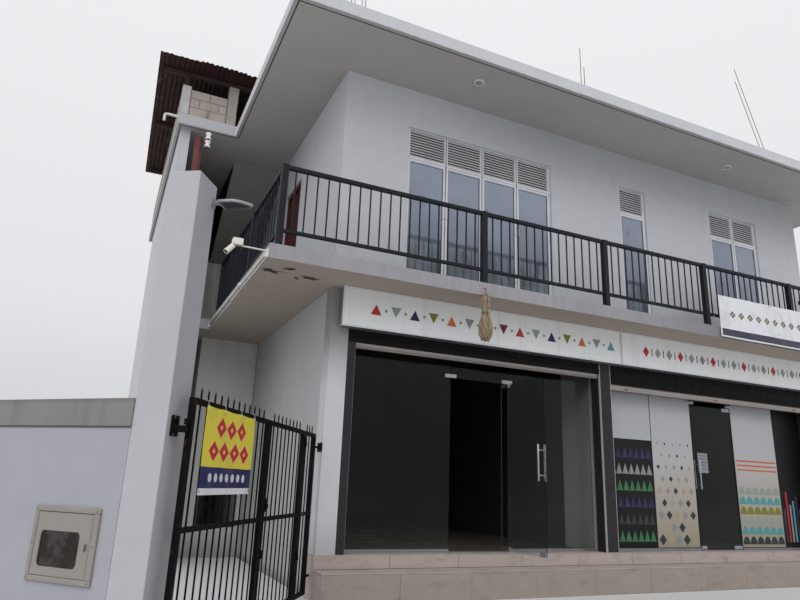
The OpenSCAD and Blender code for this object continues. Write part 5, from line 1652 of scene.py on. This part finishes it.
def frame_with_window(du0, du1, dz0, dz1, wu0, wu1, wz0, wz1, t0, t1, mat):
    """A door leaf with a rounded window cut through it, as one ring of quads."""
    n = 6
    r = 0.030
    inner, outer = [], []
    for (cx, cz, a0) in ((wu1 - r, wz1 - r, 0.0), (wu0 + r, wz1 - r, math.pi / 2), (wu0 + r, wz0 + r, math.pi), (wu1 - r, wz0 + r, 1.5 * math.pi)):
        for i in range(n + 1):
            a = a0 + (math.pi / 2) * i / n
            inner.append((cx + r * math.cos(a), cz + r * math.sin(a)))
    # a few points along each straight side, so that every corner outside lies between two of them
    full = []
    for i, p in enumerate(inner):
        full.append(p)
        q = inner[(i + 1) % len(inner)]
        if i % (n + 1) == n:
            full += [(p[0] + (q[0] - p[0]) * k / 6, p[1] + (q[1] - p[1]) * k / 6) for k in range(1, 6)]
    inner = full
    mu, mz = (wu0 + wu1) / 2, (wz0 + wz1) / 2
    for a, b in inner:
        dx, dz = a - mu, b - mz
        kx = ((du1 - mu) / dx) if dx > 1e-9 else ((du0 - mu) / dx) if dx < -1e-9 else 1e9
        kz = ((dz1 - mz) / dz) if dz > 1e-9 else ((dz0 - mz) / dz) if dz < -1e-9 else 1e9
        k = min(kx, kz)
        outer.append((mu + dx * k, mz + dz * k))
    # true corners
    corners = [(du1, dz1), (du0, dz1), (du0, dz0), (du1, dz0)]
    out2, in2 = [], []
    m = len(inner)
    for i in range(m):
        out2.append(outer[i])
        in2.append(inner[i])
        a, b = outer[i], outer[(i + 1) % m]
        for c in corners:
            on_a = abs(a[0] - c[0]) < 1e-6 or abs(a[1] - c[1]) < 1e-6
            on_b = abs(b[0] - c[0]) < 1e-6 or abs(b[1] - c[1]) < 1e-6
            same = abs(a[0] - b[0]) < 1e-6 or abs(a[1] - b[1]) < 1e-6
            if on_a and on_b and not same:
                out2.append(c)
                in2.append(((inner[i][0] + inner[(i + 1) % m][0]) / 2, (inner[i][1] + inner[(i + 1) % m][1]) / 2))
    m = len(out2)
    verts = [(a, t1, b) for a, b in out2] + [(a, t1, b) for a, b in in2] + [(a, t0, b) for a, b in out2] + [(a, t0, b) for a, b in in2]
    faces = []
    for i in range(m):
        j = (i + 1) % m
        faces.append((i, j, m + j, m + i))
        faces.append((2 * m + i, 3 * m + i, 3 * m + j, 2 * m + j))
        faces.append((i, 2 * m + i, 2 * m + j, j))
        faces.append((m + i, m + j, 3 * m + j, 3 * m + i))
    s.add(verts, faces, mat)


s.bevel = 0.0
frame_with_window(0.1830, 0.6520, 0.1375, 0.5205, 0.270, 0.610, 0.190, 0.408, 0.004, 0.0135, 0)
s.box(0.262, 0.618, 0.0015, 0.0055, 0.182, 0.416, 2)
s.box(0.30, 0.42, -0.004, 0.0012, 0.215, 0.385, 3)
s.bevel = 0.002
s.box(0.1995, 0.2200, 0.0130, 0.0190, 0.300, 0.345, 4)
s.tube([(0.2098, 0.0150, 0.322), (0.2098, 0.0195, 0.322)], 0.006, 12, 4)
for z in (0.19, 0.45):
    s.tube([(0.6545, 0.0150, z), (0.6545, 0.0150, z + 0.045)], 0.0045, 10, 1)
s.bevel = 0.0
for uu in (0.150, 0.668):
    for zz in (0.118, 0.330, 0.540):
        s.lathe([(0.0, 0.0), (0.0055, 0.0), (0.0045, 0.0018), (0.0, 0.0020)], (uu, 0.0190, zz), axis=(0, 1, 0), sides=10, mat=4)


def meter_window():
    m = Mat("meter_window", rough=0.12, spec=0.3)
    c = m.mix(m.noise(3.0, 4, 0.6, stretch=(1, 1, 1.6)), rgb(14, 11, 12), rgb(52, 37, 32))
    c = m.mix(m.mul(m.band(m.noise(6, 4), 0.52, 0.62), 0.7), c, rgb(70, 66, 66))
    m.color(c)
    m.roughness(m.ramp(m.noise(5, 3), [(0.3, 0.08), (0.8, 0.3)]))
    return m.m


make("meter_cabinet", s, [mat_meter_door, mat_meter_frame, meter_window(), mat_gasket, mat_screw], replaces="meter_box", sharp=30)

# ------------------------------------------------------------------ gate
LZ0, TOP, MID = -0.380, 1.270, 0.440


def panel(s, s0, s1, n, stile, rnd):
    s.bevel = 0.003
    for a in (s0, s1 - stile):
        s.box(a, a + stile, -0.020, 0.020, LZ0, TOP + 0.016)
        s.box(a + 0.002, a + stile - 0.002, -0.018, 0.018, TOP + 0.0155, TOP + 0.0198)
    s.box(s0 + stile, s1 - stile, -0.020, 0.020, TOP - 0.020, TOP + 0.020)
    s.box(s0 + stile, s1 - stile, -0.016, 0.016, MID - 0.018, MID + 0.018)
    s.box(s0 + stile, s1 - stile, -0.020, 0.020, LZ0, LZ0 + 0.040)
    step = (s1 - s0 - stile) / (n + 1)
    s.bevel = 0.0
    for i in range(1, n + 1):
        x = s0 + stile / 2 + i * step
        b = 0.0015 * (rnd.random() - 0.5)
        s.tube([(x, 0, LZ0 + 0.02), (x + b, b, 0.0), (x, 0, MID), (x - b, b, 0.9), (x, 0, TOP + 0.080)], [0.007, 0.007, 0.007, 0.007, 0.0068], 10, 0, tip=0.024)
        # weld beads
        for z in (LZ0 + 0.041, MID - 0.019, MID + 0.019, TOP - 0.021, TOP + 0.021):
            s.lathe([(0.0065, -0.003), (0.0095, -0.001), (0.0098, 0.001), (0.0065, 0.003)], (x, 0, z), sides=8, mat=0)


rnd = random.Random(3)
s = Shape(GATE)
panel(s, 0.0, 0.438, 3, 0.040, rnd)
# brackets to the building and the fixed half of the wicket's hinges
inv = GATE.inverted() @ BUILD
for z in (1.150, -0.208):
    xb = 0.0 if z > 0 else -0.010
    a = [(-0.100, 0.0), (-0.100, 0.0)]
    s.bevel = 0.002
    p0 = inv @ Vector((xb, -0.035, z))
    # a flat plate against the wall and an arm back to the stile
    s.frame = BUILD
    s.box(xb - 0.008, xb, -0.004 if z > 0 else 0.02, 0.165, z - 0.050, z + 0.050, 0)
    s.frame = GATE
    s.prism([(-0.205, -0.011), (0.006, -0.011), (0.006, 0.011), (-0.150, 0.011)] if z > 0 else [(-0.190, -0.011), (0.006, -0.011), (0.006, 0.011), (-0.140, 0.011)],
            lambda a, b, d: (a, b, d), z - 0.011, z + 0.011, 0)
for z in (1.130, 0.0):
    s.bevel = 0.0015
    s.box(0.426, 0.440, 0.0195, 0.044, z + 0.001, z + 0.039)
    s.bevel = 0.0
    s.tube([(0.445, 0.034, z), (0.445, 0.034, z + 0.040)], 0.0098, 14, 0)
make("gate_fixed_bars", s, [mat_gate], replaces="gate_fixed_panel", sharp=45)

s = Shape(GATE)
panel(s, 0.452, 1.552, 8, 0.040, rnd)
for z in (1.130, 0.0):
    s.bevel = 0.0015
    s.box(0.4505, 0.470, 0.0195, 0.044, z + 0.047, z + 0.085)
    s.bevel = 0.0
    s.tube([(0.445, 0.034, z + 0.0462), (0.445, 0.034, z + 0.086)], 0.0098, 14, 0)
# slide bolt
s.bevel = 0.002
s.box(1.484, 1.530, 0.0195, 0.0262, 0.503, 0.617)
s.bevel = 0.0
s.tube([(1.486, 0.033, 0.560), (1.528, 0.033, 0.560)], 0.0062, 12, 0)
s.tube([(1.500, 0.033, 0.560), (1.500, 0.0385, 0.548), (1.500, 0.0385, 0.530)], 0.004, 8, 0)
for x in (1.491, 1.520):
    s.bevel = 0.001
    s.box(x - 0.005, x + 0.005, 0.026, 0.0395, 0.551, 0.569)
s.bevel = 0.002
s.box(1.485, 1.529, 0.0195, 0.0300, 0.120, 0.190)
make("wicket_bars", s, [mat_gate], body="wicket", replaces="gate_wicket_leaf", sharp=45)

s = Shape(GATE)
for z in (1.050, -0.200):
    s.bevel = 0.003
    s.box(3.121, 3.204, -0.085, -0.0655, z - 0.024, z + 0.109)
    s.box(3.171, 3.199, -0.0655, 0.013, z + 0.0005, z + 0.0445)
    s.bevel = 0.0
    s.tube([(3.160, 0, z), (3.160, 0, z + 0.045)], 0.0138, 18, 0)
    s.bevel = 0.0
    for dz in (-0.014, 0.096):
        for ds in (3.134, 3.191):
            s.lathe([(0.0, 0.0), (0.0085, 0.0), (0.0085, 0.005), (0.0, 0.0055)], (ds, -0.0655, z + dz), axis=(0, 1, 0), sides=6, mat=1)
make("pier_hinge_plates", s, [mat_gate, mat_screw], replaces="pier_hinges", sharp=45)

s = Shape(GATE)
panel(s, 1.568, 3.120, 12, 0.044, rnd)
for z in (1.050, -0.200):
    s.bevel = 0.002
    s.box(3.101, 3.160, -0.0078, 0.0078, z + 0.0525, z + 0.0915)
    s.bevel = 0.0
    s.tube([(3.160, 0, z + 0.0522), (3.160, 0, z + 0.0918)], 0.0138, 18, 0)
# drop bolt and its keeps, on the meeting stile
s.tube([(1.640, 0.027, -0.365), (1.640, 0.027, 0.120), (1.640, 0.027, 0.155), (1.652, 0.033, 0.165), (1.672, 0.036, 0.165)], 0.0062, 10, 0)
for z in (-0.250, 0.060):
    s.bevel = 0.001
    s.box(1.618, 1.652, 0.0195, 0.0365, z, z + 0.022)
s.box(1.570, 1.618, 0.0195, 0.0290, 0.520, 0.590)
make("wide_leaf_bars", s, [mat_gate], body="wide_leaf", replaces="gate_wide_leaf", sharp=45)

# ------------------------------------------------------------------ floor, world and light
fm = bpy.data.meshes.new("studio_floor")
bm = bmesh.new()
bmesh.ops.create_circle(bm, cap_ends=True, segments=96, radius=90.0)
bm.to_mesh(fm)
bm.free()
floor = bpy.data.objects.new("studio_floor", fm)
scene.collection.objects.link(floor)
fmat = Mat("studio_floor", rough=0.9, spec=0.2)
fmat.color(fmat.mix(fmat.noise(0.3, 3), rgb(205, 205, 206), rgb(211, 211, 212)))
fm.materials.append(fmat.m)

world = bpy.data.worlds.new("studio")
scene.world = world
world.use_nodes = True
wt = world.node_tree
wt.nodes.clear()
wo = wt.nodes.new("ShaderNodeOutputWorld")
bg = wt.nodes.new("ShaderNodeBackground")
tcw = wt.nodes.new("ShaderNodeTexCoord")
sepw = wt.nodes.new("ShaderNodeSeparateXYZ")
rampw = wt.nodes.new("ShaderNodeValToRGB")
wt.links.new(tcw.outputs["Generated"], sepw.inputs[0])
wt.links.new(sepw.outputs[2], rampw.inputs[0])
wt.links.new(rampw.outputs[0], bg.inputs[0])
wt.links.new(bg.outputs[0], wo.inputs[0])
els = rampw.color_ramp.elements
els[0].position, els[0].color = 0.0, (0.60, 0.61, 0.63, 1)
els[1].position, els[1].color = 1.0, (0.92, 0.93, 0.95, 1)
e = els.new(0.25)
e.color = (0.78, 0.79, 0.81, 1)
bg.inputs[1].default_value = 1.0

sun = bpy.data.lights.new("key", "SUN")
sun.energy = 1.0
sun.angle = math.radians(50)
sun.color = (1.0, 0.99, 0.97)
so = bpy.data.objects.new("key", sun)
scene.collection.objects.link(so)
so.rotation_euler = Vector((-0.45, -0.62, 0.72)).to_track_quat("Z", "Y").to_euler()

scene.view_settings.view_transform = "Standard"
scene.view_settings.look = "None"
scene.view_settings.exposure = 0.0
scene.view_settings.gamma = 1.0
